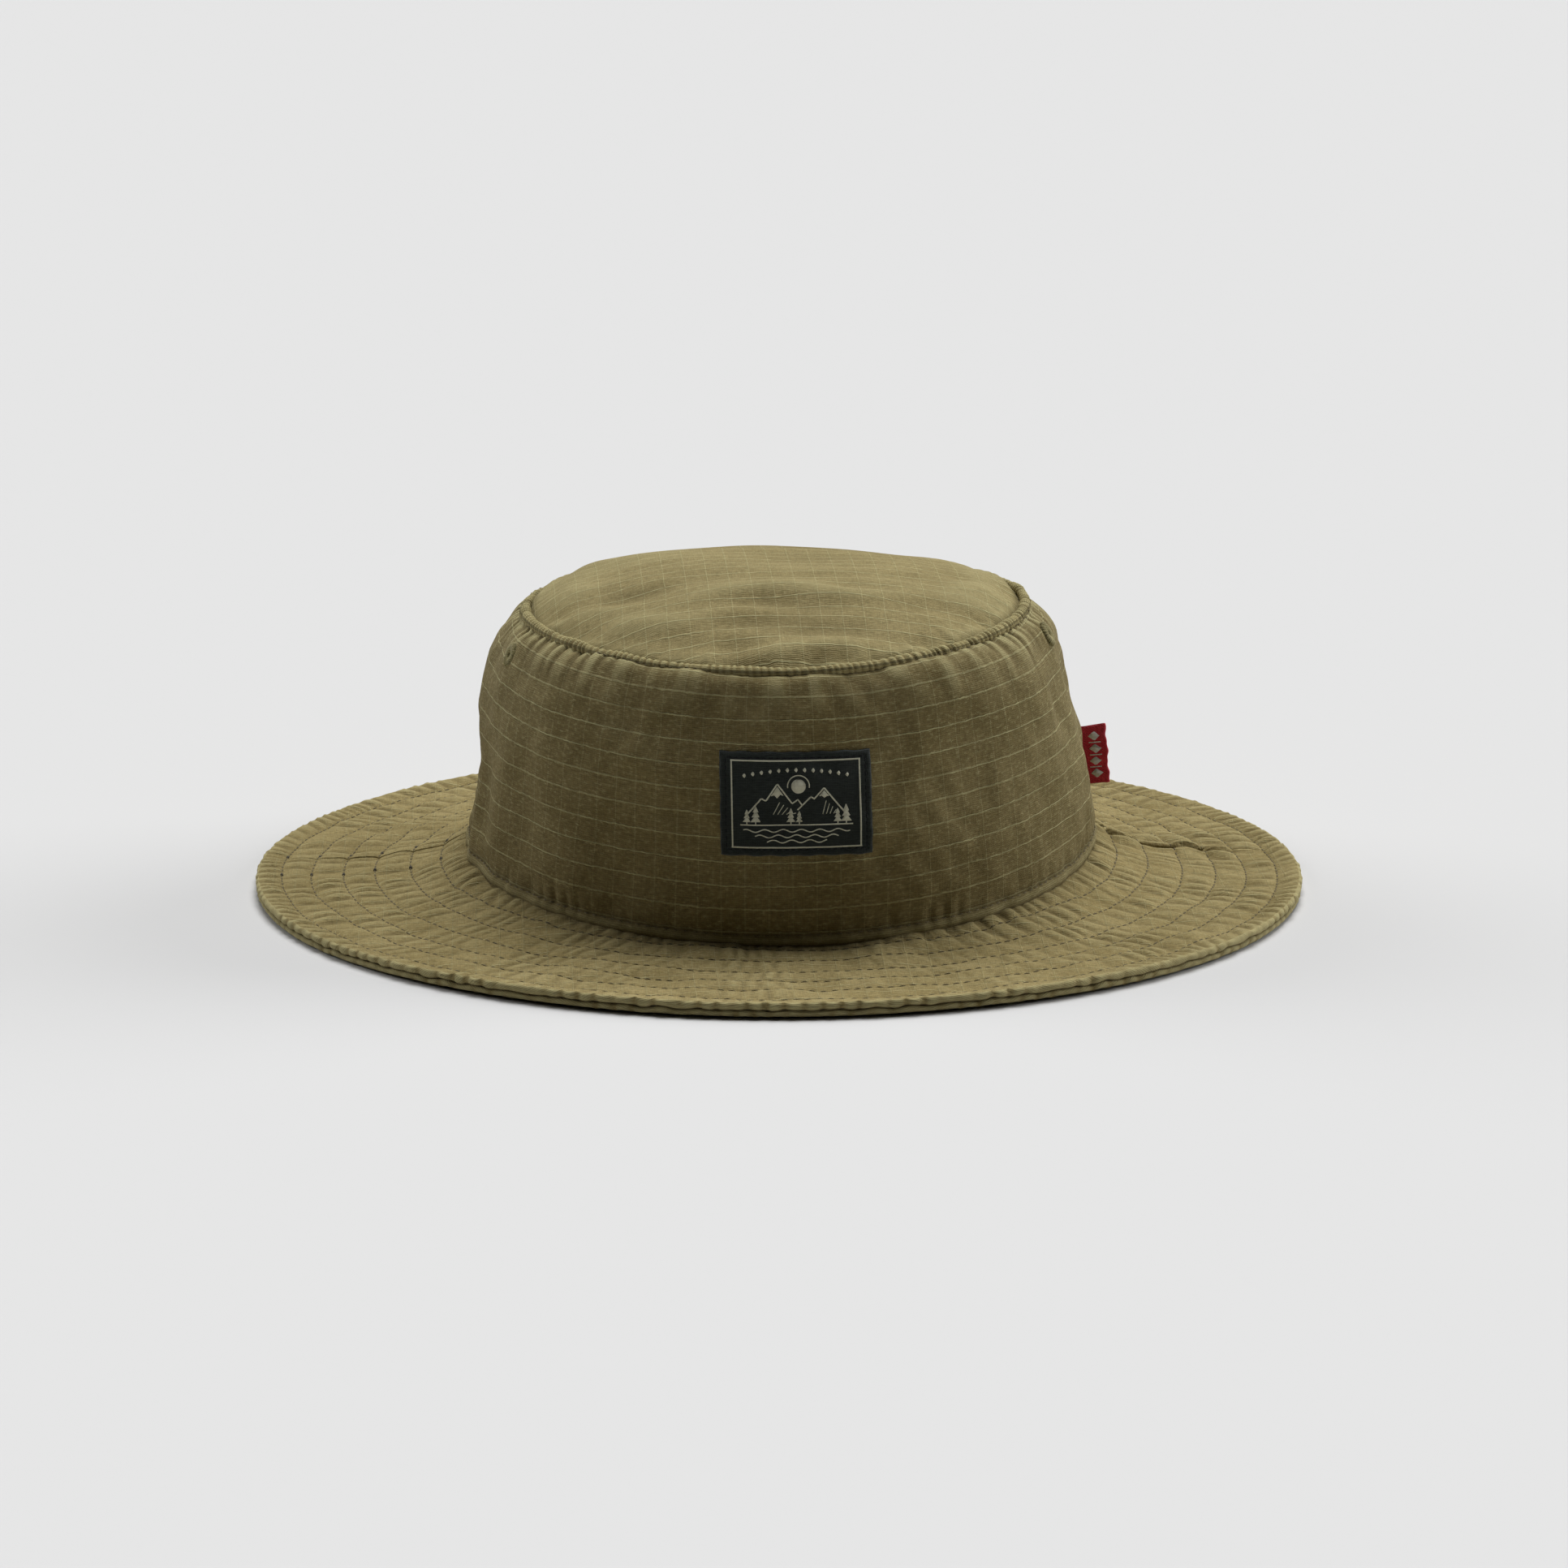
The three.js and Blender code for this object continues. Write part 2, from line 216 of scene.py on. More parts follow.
def wall_row(t, z):
    """The w at which the wall reaches height z."""
    low, high = np.zeros(np.shape(t)), np.ones(np.shape(t))
    for _ in range(26):
        mid = (low + high) / 2
        below = wall_base(t, mid)[..., 2] < z
        low, high = np.where(below, mid, low), np.where(below, high, mid)
    return (low + high) / 2


def seam_turn(b):
    """How far round from the front a side seam lies, on an oval of half length b."""
    return math.pi / 2 + np.arcsin(SEAM_Y / b)


# Soft dents and creases of the side wall: angle in degrees, height above the base seam, half width round
# the hat, half height, and how far in (-) or out (+).
WALL_DENTS = (
    (-94, 26, 15, 12, -3.0),
    (-100, 8, 6, 9, 1.0),
    (-97, 71, 30, 8, -2.6),
    (-88, 12, 3.0, 14, -1.3),
    (-81, 12, 2.6, 12, 1.2),
    (-75, 16, 3.6, 16, -1.0),
    (88, 45, 14, 8, -2.0),
    (88, 58, 16, 8, -1.2),
    (95, 70, 32, 6, -2.2),
    (90, 5, 12, 7, 1.4),
    (-66, 34, 7.0, 20, 0.8),
    (-58, 48, 5.0, 14, -0.8),
    (-47, 30, 8.0, 22, 0.5),
    (-32, 58, 16.0, 3.4, -0.9),
    (-24, 50, 20.0, 6.0, 0.5),
    (-12, 30, 9.0, 18, -0.4),
    (17, 56, 6.0, 12, -0.4),
    (27, 52, 7.0, 14, 0.4),
    (38, 40, 8.0, 20, -0.6),
    (52, 30, 9.0, 18, 0.6),
    (66, 50, 6.0, 12, -0.7),
    (78, 22, 8.0, 14, 1.1),
    (120, 30, 8.0, 20, -0.8),
    (150, 40, 10.0, 18, 0.9),
    (176, 24, 9.0, 16, -0.9),
    (-150, 36, 9.0, 18, -0.9),
    (-122, 26, 8.0, 20, 0.8),
)


def wall_relief(t, w, base):
    """How far the cloth stands out of the CAD wall."""
    above = base[..., 2] - wave(BASE_WAVE, t)
    below = (1 - w) ** 1.25 * 116  # roughly the way down the cloth from the top seam
    across = (BASE_A + BASE_B) / 2
    out = 0.55 * cloud(11, base * (1, 1, 0.6), 34) * step(above, 2, 14)
    out += 0.16 * cloud(12, base, 11)
    held = step(below, 0.0, 6.0)  # the welt holds the cloth's top edge in place
    for degrees, height, wide, tall, depth in WALL_DENTS:
        gap = turn_gap(t, degrees)
        lean = gap * across + 0.12 * (above - height)
        out += held * depth * bell(lean, wide * 1.4) * bell(above - height, tall * 1.2)
    # gathers under the welt: fine at the seam, joining into fewer, wider ones further down
    side = 0.10 + 0.90 * step(np.abs(np.sin(t)), 0.50, 0.97)
    fine = puffed(ring_noise(21, t, 120, 190)) * np.exp(-below / 6)
    wide = puffed(ring_noise(22, t, 85, 150)) * np.exp(-below / 17) * step(below, 0.5, 4)
    out += side * (0.36 * fine + 0.52 * wide) * step(below, 0, 1.5)
    # the turned seam allowance stands up as a narrow ridge just above the base seam
    out += 0.70 * step(above, -0.4, 0.4) * (1 - step(above, 2.1, 2.7)) - 0.25 * bell(above - 3.2, 0.6)
    out += 0.14 * puffed(ring_noise(23, t, 90, 150)) * bell(above - 4.6, 3.4)
    # side seams
    for sign in (-1, 1):
        gap = np.where(np.sign(base[..., 0]) == sign, np.abs(base[..., 1] - SEAM_Y), 99)
        out += -0.75 * bell(gap, 0.7) + 0.3 * bell(gap - 2.2, 1.5)
        out += 0.3 * bell(gap - 3, 4) * cloud(24, base * (0.3, 0.3, 1), 8)
    # the thread of each eyelet holds the cloth flat and draws it in
    for place in EYELET_PLACES:
        near = bell(np.linalg.norm(base - place, axis=-1), 5.5)
        out = out * (1 - near) - 0.35 * near
    return out


def wall(t, w, depth=0.0):
    """The outer face of the wall's cloth, or a place at a depth behind it."""
    base = wall_base(t, w)
    return base + (wall_relief(t, w, base) - depth)[..., None] * wall_normal(t, w)


def tip_base(t, rho):
    """The CAD dome: rho from its middle, 0, to the top seam, 1."""
    seam = wave(TOP_WAVE, t)
    z = TOP_WAVE[0] + (seam - TOP_WAVE[0]) * rho**2 + DOME_RISE * (1 - rho**DOME_FULLNESS)
    return np.stack([*oval(rho * TOP_A, rho * TOP_B, t, 1), z], -1)


# Small pleats where the tip is eased into the welt: angle in degrees, width, length and height.
TIP_PLEATS = (
    (-34, 2.2, 7, 0.7),
    (-20, 2.4, 11, 1.3),
    (-12, 2.0, 7, -0.9),
    (-3, 2.6, 9, 1.0),
    (6, 2.2, 12, -1.0),
    (16, 2.6, 9, 0.9),
    (30, 2.4, 8, 0.7),
    (47, 2.2, 8, -0.6),
    (95, 2.6, 9, 0.8),
    (140, 2.6, 10, 0.9),
    (172, 2.4, 10, -0.9),
    (-150, 2.4, 9, 0.9),
    (-100, 2.4, 9, 0.7),
)


# Broad folds of the tip: the place in plan, the stretch across the hat, the half length and the height.
TIP_FOLDS = (
    (-45, 30, 1.0, 20, 1.9),
    (18, 42, 1.0, 24, -1.2),
    (20, -38, 2.2, 12, 0.9),
    (8, -54, 2.6, 7, -0.9),
    (-12, -64, 2.0, 6, 0.8),
    (-34, -30, 1.6, 9, -0.7),
)


def tip_relief(t, rho, base):
    """How far the tip's cloth stands out of the CAD dome."""
    x, y = base[..., 0], base[..., 1]
    near_front = step(-y, -10, 60)
    out = -0.8 + 0.55 * cloud(31, base * (0.45, 1, 1), 26) * (0.5 + 0.7 * near_front)
    out += 0.35 * cloud(32, base * (0.35, 1, 1), 12) * (0.3 + near_front)
    for fold_x, fold_y, stretch, long, high in TIP_FOLDS:
        out += high * bell(np.hypot((x - fold_x) / stretch, y - fold_y), long)
    out += 1.5 * bell(rho - 0.84, 0.10) * step(np.abs(np.sin(t)), 0.5, 0.95)
    inward = (1 - rho) * (TOP_A + TOP_B) / 2
    for degrees, wide, long, high in TIP_PLEATS:
        gap = turn_gap(t, degrees)
        out += high * bell(gap * TOP_B, wide * 1.5) * np.exp(-((inward / long) ** 1.6))
    out += 0.22 * puffed(ring_noise(33, t, 70, 120)) * np.exp(-inward / 6)
    behind = step(-np.cos(t), 0.04, 0.30)
    return out * (0.35 + 0.65 * step(inward, 0.6, 4)) + 1.7 * behind * bell(inward - 2.8, 3.2)


def brim_plan(t, d):
    """The place in plan at distance d in from the brim's edge, with the share of the way out, s."""
    reach = np.hypot((EDGE_A - BASE_A) * np.sin(t), (EDGE_B - BASE_B) * np.cos(t))
    s = 1 - d / reach
    x, y = oval(BASE_A + (EDGE_A - BASE_A) * s, BASE_B + (EDGE_B - BASE_B) * s, t)
    return x, y, s, reach


def brim_lift(t, s):
    """How far the brim's layers stand above their level at the rim."""
    level = np.clip(s / FLAT_RIM, 0, 1)
    lift = (wave(BASE_WAVE, t) - BRIM_STACK) * (1 - level) ** BRIM_CURL
    rim = 0.15 * (2.0 + ring_noise(41, t, 2, 7, 12))
    return lift + rim * step(s, 0.1, 1)


# ---------------------------------------------------------------- meshes
def grid_faces(rows, cols, close_rows, close_cols):
    """The four-sided faces of a grid of points, which may close on itself either way."""
    r = np.arange(rows if close_rows else rows - 1)
    c = np.arange(cols if close_cols else cols - 1)
    r, c = np.meshgrid(r, c, indexing="ij")
    down, right = (r + 1) % rows, (c + 1) % cols
    quads = [r * cols + c, r * cols + right, down * cols + right, down * cols + c]
    return np.stack(quads, -1).reshape(-1, 4)


def signed_volume(points, quads):
    a, b, c, d = (points[quads[:, k]] for k in range(4))
    return np.sum(np.cross(a, b) * c) + np.sum(np.cross(a, c) * d)


def build(name, points, quads, material, caps=(), uv=None, turn=True, **values):
    """A smooth mesh object from points in millimetres, four-sided faces, and flat end caps. Its faces are
    turned outward unless turn is False."""
    points = np.asarray(points, float).reshape(-1, 3)
    quads = np.asarray(quads, int)
    caps = [np.asarray(cap, int) for cap in caps]
    if turn and signed_volume(points, quads) < 0:
        quads = quads[:, ::-1]
        caps = [cap[::-1] for cap in caps]
    loops = np.concatenate([quads.ravel(), *caps]).astype(np.int32)
    sizes = np.concatenate([np.full(len(quads), 4), [len(cap) for cap in caps]]).astype(np.int32)
    starts = np.concatenate([[0], np.cumsum(sizes)[:-1]]).astype(np.int32)
    mesh = bpy.data.meshes.new(name)
    mesh.vertices.add(len(points))
    mesh.vertices.foreach_set("co", (points * MM).astype(np.float32).ravel())
    mesh.loops.add(len(loops))
    mesh.loops.foreach_set("vertex_index", loops)
    mesh.polygons.add(len(sizes))
    mesh.polygons.foreach_set("loop_start", starts)
    mesh.polygons.foreach_set("use_smooth", np.ones(len(sizes), bool))
    mesh.update(calc_edges=True)
    if uv is not None:
        layer = mesh.uv_layers.new(name="flat")
        flat = np.asarray(uv, float).reshape(-1, 2) * MM
        layer.data.foreach_set("uv", flat[loops].astype(np.float32).ravel())
    for key, value in values.items():
        attribute = mesh.attributes.new(key, "FLOAT", "POINT")
        attribute.data.foreach_set("value", np.asarray(value, np.float32).ravel())
    mesh.validate()
    mesh.materials.append(material)
    thing = bpy.data.objects.new(name, mesh)
    bpy.context.scene.collection.objects.link(thing)
    return thing


def ends_of(rows, cols):
    """The end caps of a grid whose rows close into a tube."""
    first = np.arange(rows) * cols
    return first, (first + cols - 1)[::-1]


def both(value, keep=slice(None)):
    """A value for an outer face's rows and, the other way round, for the inner face's coarser rows."""
    return np.concatenate([value, value[keep][::-1]])


def shell(name, loop, material, uv, closed_round=False, **values):
    """A piece whose section is a closed loop of rows: half a ring with end caps, or a whole ring."""
    rows, cols = loop.shape[:2]
    quads = grid_faces(rows, cols, True, closed_round)
    caps = () if closed_round else ends_of(rows, cols)
    return build(name, loop, quads, material, caps, uv, **values)


def arc_lengths(path):
    """The distance along a path at each of its points."""
    return np.concatenate([[0], np.cumsum(np.linalg.norm(np.diff(path, axis=0), axis=1))])


def stitches(name, runs, material, pitch, wide, tall, sink=0.12, length=0.8):
    """Lock stitches along each run, a path with its normals: short threads that dive in at both ends.
    length is the share of the pitch that shows."""
    sides, rings = 6, 7
    x = np.linspace(0, 1, rings)
    arch = np.sin(math.pi * x) ** 0.6
    turn = np.arange(sides) / sides * TAU
    clouds = []
    for path, normals in runs:
        along = arc_lengths(path)
        count = int(along[-1] / pitch)
        if count < 1:
            continue
        starts = (np.arange(count) + (1 - length) / 2) * (along[-1] / count)
        at = starts[:, None] + x * pitch * length
        middle = np.stack([np.interp(at, along, path[:, k]) for k in range(3)], -1)
        up = np.stack([np.interp(at, along, normals[:, k]) for k in range(3)], -1)
        up /= np.linalg.norm(up, axis=-1, keepdims=True)
        way = np.gradient(middle, axis=1)
        way /= np.linalg.norm(way, axis=-1, keepdims=True)
        across = np.cross(way, up)
        middle = middle + up * ((tall + sink) * arch - sink)[None, :, None]
        thick = (0.45 + 0.55 * arch)[None, :, None, None]
        ring = (
            across[:, :, None] * (wide * np.cos(turn))[None, None, :, None]
            + up[:, :, None] * (tall * np.sin(turn))[None, None, :, None]
        )
        clouds.append((middle[:, :, None] + ring * thick).reshape(-1, 3))
    points = np.concatenate(clouds)
    one = grid_faces(rings, sides, False, True)
    total = len(points) // (rings * sides)
    offset = np.arange(total) * rings * sides
    quads = (one[None] + offset[:, None, None]).reshape(-1, 4)
    ends = np.arange(sides)
    caps = np.concatenate([offset[:, None] + ends[::-1], offset[:, None] + (rings - 1) * sides + ends])
    return build(name, points, quads, material, list(caps))


# ---------------------------------------------------------------- materials
class Value:
    """A node's output, which adds and multiplies as a number does."""

    def __init__(self, nodes, socket):
        self.nodes, self.socket = nodes, socket

    def __add__(self, other):
        return self.nodes.math("ADD", self, other)

    def __sub__(self, other):
        return self.nodes.math("SUBTRACT", self, other)

    def __rsub__(self, other):
        return self.nodes.math("SUBTRACT", other, self)

    def __mul__(self, other):
        return self.nodes.math("MULTIPLY", self, other)


class Nodes:
    """A short way to write a material's node graph."""

    def __init__(self, name):
        self.material = bpy.data.materials.new(name)
        self.material.use_nodes = True
        self.tree = self.material.node_tree
        self.shader = self.tree.nodes["Principled BSDF"]

    def node(self, kind, inputs=None, **settings):
        made = self.tree.nodes.new(kind)
        for key, value in settings.items():
            setattr(made, key, value)
        for key, value in (inputs or {}).items():
            self.plug(made.inputs[key], value)
        return made

    def plug(self, socket, value):
        if isinstance(value, Value):
            self.tree.links.new(value.socket, socket)
        else:
            socket.default_value = value

    def math(self, operation, *values, clamp=False):
        made = self.tree.nodes.new("ShaderNodeMath")
        made.operation = operation
        made.use_clamp = clamp
        for k, value in enumerate(values):
            self.plug(made.inputs[k], value)
        return Value(self, made.outputs[0])

    def sine(self, value, pitch):
        """A wave of the given pitch along a value."""
        return self.math("SINE", value * (TAU / pitch))

    def mix(self, factor, a, b):
        made = self.node("ShaderNodeMix", data_type="RGBA")
        self.plug(made.inputs[0], factor)
        self.plug(made.inputs[6], a)
        self.plug(made.inputs[7], b)
        return Value(self, made.outputs[2])

    def smooth(self, value, low, high, to_low=0.0, to_high=1.0):
        made = self.node("ShaderNodeMapRange", interpolation_type="SMOOTHSTEP")
        for key, item in zip(range(5), (value, low, high, to_low, to_high)):
            self.plug(made.inputs[key], item)
        return Value(self, made.outputs[0])

    def noise(self, where, scale, detail=2.0, roughness=0.5):
        made = self.node("ShaderNodeTexNoise", {"Scale": scale, "Detail": detail, "Roughness": roughness})
        self.plug(made.inputs["Vector"], where)
        return Value(self, made.outputs[0])

    def flat(self):
        """The piece's flat pattern, in millimetres: the whole vector, and across and along."""
        uv = Value(self, self.node("ShaderNodeUVMap", uv_map="flat").outputs[0])
        scaled = self.node("ShaderNodeVectorMath", {0: uv, "Scale": 1 / MM}, operation="SCALE")
        vector = Value(self, scaled.outputs[0])
        parts = self.node("ShaderNodeSeparateXYZ", {0: vector})
        return vector, Value(self, parts.outputs[0]), Value(self, parts.outputs[1])

    def stretched(self, vector, x, y):
        made = self.node("ShaderNodeVectorMath", {0: vector, 1: (x, y, 1)}, operation="MULTIPLY")
        return Value(self, made.outputs[0])

    def attribute(self, name):
        return Value(self, self.node("ShaderNodeAttribute", attribute_name=name).outputs["Fac"])

    def bump(self, height, distance):
        made = self.node("ShaderNodeBump", {"Height": height, "Distance": distance, "Strength": 1.0})
        self.plug(self.shader.inputs["Normal"], Value(self, made.outputs[0]))

    def finish(self, colour, roughness=0.9, sheen=0.0, tint=(1, 1, 1, 1), specular=0.25):
        self.plug(self.shader.inputs["Base Color"], colour)
        self.plug(self.shader.inputs["Roughness"], roughness)
        self.shader.inputs["Sheen Weight"].default_value = sheen
        self.shader.inputs["Sheen Roughness"].default_value = 0.45
        self.shader.inputs["Sheen Tint"].default_value = tint
        self.shader.inputs["Specular IOR Level"].default_value = specular
        return self.material


def lines(n, value, pitch, half, soft):
    """1 on evenly spaced lines of the given half width, fading to 0 over soft."""
    gap = n.math("ABSOLUTE", n.math("FLOORED_MODULO", value, pitch) - pitch / 2)
    return n.smooth(gap, half, half + soft, 1.0, 0.0)


# Pale of worn threads, also used as painted highlight; painted shade in the weave's valleys; darker tones
# of slubs and of the nap; painted shade in creases, hollows and corners.
WORN_AND_HIGHLIGHT = (0.440, 0.400, 0.205, 1)
WEAVE_PAINTED_SHADE = (0.045, 0.036, 0.016, 1)
SLUB_DARK_TONE = (0.070, 0.052, 0.018, 1)
NAP_DARK_TONE = (0.100, 0.074, 0.026, 1)
HOLLOW_PAINTED_SHADE = (0.085, 0.062, 0.022, 1)


def ripstop(name, deep, pale, cross=0.45, square=GRID, drawn=0.55):
    """Garment-washed cotton ripstop: plain ribbed weave, a raised thread every square, slubs, and wear
    that is partly painted highlight, with painted shade in the weave's valleys and in creases and hollows.
    drawn is how clearly the raised threads show, and cross how clearly the upright ones do."""
    n = Nodes(name)
    vector, u, v = n.flat()
    drift = n.noise(vector, 0.35, 2.0)
    u = u + drift * 0.5
    v = v + drift * 0.6 + n.noise(vector, 0.9, 2.0) * 0.35
    wear, hollow = n.attribute("wear"), n.attribute("hollow")
    squared = 1.0 - n.attribute("plain")  # 0 where the cloth is turned and the squares run out
    # weave: ribs along the cloth's width, each crossed by finer threads
    rib = n.sine(v, 0.56)
    weave = rib * 0.55 + rib * n.sine(u, 0.50) * 0.45
    slub = n.noise(n.stretched(vector, 0.25, 2.4), 1.0, 3.0, 0.6)
    slub_up = n.noise(n.stretched(vector, 2.2, 0.22), 1.0, 3.0, 0.6)
    # ripstop threads
    broken = n.smooth(slub, 0.30, 0.62)
    level = lines(n, v, square, 0.12, 0.18) * squared
    upright = lines(n, u, square, 0.08, 0.18) * squared
    seen = level * n.math("MULTIPLY_ADD", broken, 0.72, 0.28) + upright * (broken * cross)
    seen = n.math("ADD", seen, level * upright * 0.25, clamp=True)
    # colour
    shade = n.noise(vector, 0.045, 3.0, 0.6) * 0.65 + n.noise(vector, 1.6, 2.0, 0.6) * 0.35
    colour = n.mix(n.smooth(shade, 0.34, 0.66), deep, pale)
    nap = n.noise(n.stretched(vector, 0.55, 1.1), 1.0, 3.0, 0.7)
    streak = slub * 0.6 + slub_up * 0.4
    colour = n.mix(n.smooth(streak, 0.36, 0.60, 0.38, 0.0), colour, SLUB_DARK_TONE)
    colour = n.mix(n.smooth(nap, 0.34, 0.52, 0.34, 0.0), colour, NAP_DARK_TONE)
    colour = n.mix(n.smooth(nap, 0.52, 0.70, 0.0, 0.40), colour, WORN_AND_HIGHLIGHT)
    colour = n.mix(seen * drawn, colour, WORN_AND_HIGHLIGHT)
    # painted shade in the valleys between the weave's threads
    colour = n.mix(n.smooth(weave, -1.0, 0.2, 0.34, 0.0), colour, WEAVE_PAINTED_SHADE)
    # paler on the weave's high points where the mesh marks it: partly wear, partly painted highlight
    rubbed_and_highlit = n.math("MULTIPLY", wear, n.smooth(weave, -0.6, 0.8, 0.45, 1.0), clamp=True)
    colour = n.mix(rubbed_and_highlit, colour, WORN_AND_HIGHLIGHT)
    # painted shade in creases, hollows and corners, where the mesh marks it
    colour = n.mix(n.math("MULTIPLY", hollow, 0.55, clamp=True), colour, HOLLOW_PAINTED_SHADE)
    n.bump(weave * 0.30 + seen * 0.9 + streak * 0.9 + nap * 1.1, 0.00020)
    return n.finish(colour, 0.92, 0.06, (0.75, 0.80, 0.62, 1), 0.12)


def thread(name, colour, shine=0.75):
    """Spun thread, with its twist."""
    n = Nodes(name)
    where = Value(n, n.node("ShaderNodeTexCoord").outputs["Object"])
    bands = {"Vector": where, "Scale": 900.0, "Distortion": 2.0}
    twist = Value(n, n.node("ShaderNodeTexWave", bands, bands_direction="DIAGONAL").outputs["Fac"])
    dark = tuple(c * 0.55 for c in colour[:3]) + (1,)
    # painted shade in the grooves of the twist, then darker at random
    shade = n.mix(n.smooth(twist, 0.1, 0.8), dark, colour)
    shade = n.mix(n.smooth(n.noise(where, 1500.0, 2.0), 0.35, 0.7, 0.0, 0.35), shade, dark)
    n.bump(twist, 0.00005)
    return n.finish(shade, shine, 0.1)


def plain_weave(name, colour, pale, pitch=0.30, twill=False, sheen=0.15, rough=0.85, depth=0.00010):
    """Tape, twill or satin: fine threads, straight or diagonal."""
    n = Nodes(name)
    vector, u, v = n.flat()
    wale = n.sine(u * 0.8 + v, pitch * 1.6) if twill else n.sine(v, pitch)
    weave = wale * 0.65 + n.sine(u, pitch) * 0.35
    fleck = n.noise(n.stretched(vector, 0.4, 2.0), 1.2, 3.0, 0.6)
    shade = n.mix(n.smooth(fleck, 0.35, 0.68), colour, pale)
    # painted shade in the valleys between the threads
    dark = tuple(c * 0.35 for c in colour[:3]) + (1,)
    shade = n.mix(n.smooth(weave, -1.0, 0.1, 0.45, 0.0), shade, dark)
    n.bump(weave + fleck * 1.2, depth)
    return n.finish(shade, rough, sheen)


# DEEP and PALE are the cloth's own colours; the side's and the tip's pairs are the same cloth darkened as
# painted shade, the side's to about two thirds and the tip's by about a tenth.
DEEP, PALE = (0.265, 0.203, 0.078, 1), (0.345, 0.272, 0.116, 1)
SHADED_SIDE_DEEP, SHADED_SIDE_PALE = (0.180, 0.138, 0.053, 1), (0.240, 0.189, 0.082, 1)
SHADED_TIP_DEEP, SHADED_TIP_PALE = (0.238, 0.182, 0.072, 1), (0.318, 0.252, 0.110, 1)
SATIN, SATIN_PALE = (0.66, 0.65, 0.61, 1), (0.76, 0.75, 0.71, 1)
RED, RED_PALE = (0.520, 0.030, 0.052, 1), (0.620, 0.050, 0.070, 1)
TWILL, TWILL_PALE = (0.105, 0.085, 0.040, 1), (0.140, 0.115, 0.056, 1)

# the crown's side and tip cloths take the darkened pairs, as painted shade
crown_cloth = ripstop("crown_cloth", SHADED_SIDE_DEEP, SHADED_SIDE_PALE, cross=0.34, drawn=0.9)
welt_cloth = ripstop("welt_cloth", DEEP, PALE)
tip_cloth = ripstop("tip_cloth", SHADED_TIP_DEEP, SHADED_TIP_PALE, cross=0.50, square=6.2, drawn=1.05)
brim_cloth = ripstop("brim_cloth", DEEP, PALE, cross=0.55)
under_cloth = ripstop("under_cloth", DEEP, PALE, cross=0.55)
stiff_cloth = plain_weave("interlining", (0.55, 0.53, 0.45, 1), (0.66, 0.64, 0.56, 1), pitch=0.8)
band_twill = plain_weave("sweatband_twill", TWILL, TWILL_PALE, pitch=0.6, twill=True)
tape_weave = plain_weave("seam_tape_weave", (0.075, 0.060, 0.028, 1), (0.100, 0.082, 0.040, 1), pitch=0.7)
patch_weave = plain_weave("patch_weave", (0.018, 0.024, 0.021, 1), (0.032, 0.040, 0.034, 1), pitch=0.34)
cream_thread = plain_weave("patch_cream", (0.80, 0.79, 0.60, 1), (0.90, 0.88, 0.70, 1), sheen=0.0)
tab_weave = plain_weave("tab_red", RED, RED_PALE, pitch=0.40, twill=True, sheen=0.0)
tab_white = plain_weave("tab_white", (0.86, 0.84, 0.82, 1), (0.92, 0.91, 0.89, 1), sheen=0.0)
satin = plain_weave("label_satin", SATIN, SATIN_PALE, sheen=0.05, rough=0.45, depth=0.00004)
olive_thread = thread("olive_thread", (0.165, 0.130, 0.054, 1))
dark_thread = thread("dark_thread", (0.050, 0.040, 0.018, 1))
eyelet_thread = thread("eyelet_thread", (0.330, 0.285, 0.115, 1), 0.7)
eyelet_dark = thread("eyelet_core", (0.190, 0.155, 0.062, 1))
black_thread = thread("black_thread", (0.006, 0.008, 0.009, 1))
label_grey = plain_weave("label_grey", (0.16, 0.16, 0.16, 1), (0.22, 0.22, 0.22, 1))


# ---------------------------------------------------------------- crown
def half_turns(front, b, cols):
    """Angles of a front or back half, from one side seam to the other, for an oval of half length b."""
    end = seam_turn(b)
    if front:
        return np.linspace(-1, 1, cols) * end
    return np.linspace(end, TAU - end, cols)


def wall_rows(count):
    """Rows of the wall at even steps along the cloth."""
    w = np.linspace(0.010, 0.985, 1200)
    path = wall_base(np.full(w.shape, 0.9), w)
    along = arc_lengths(path)
    return np.interp(np.linspace(0, along[-1], count), along, w)


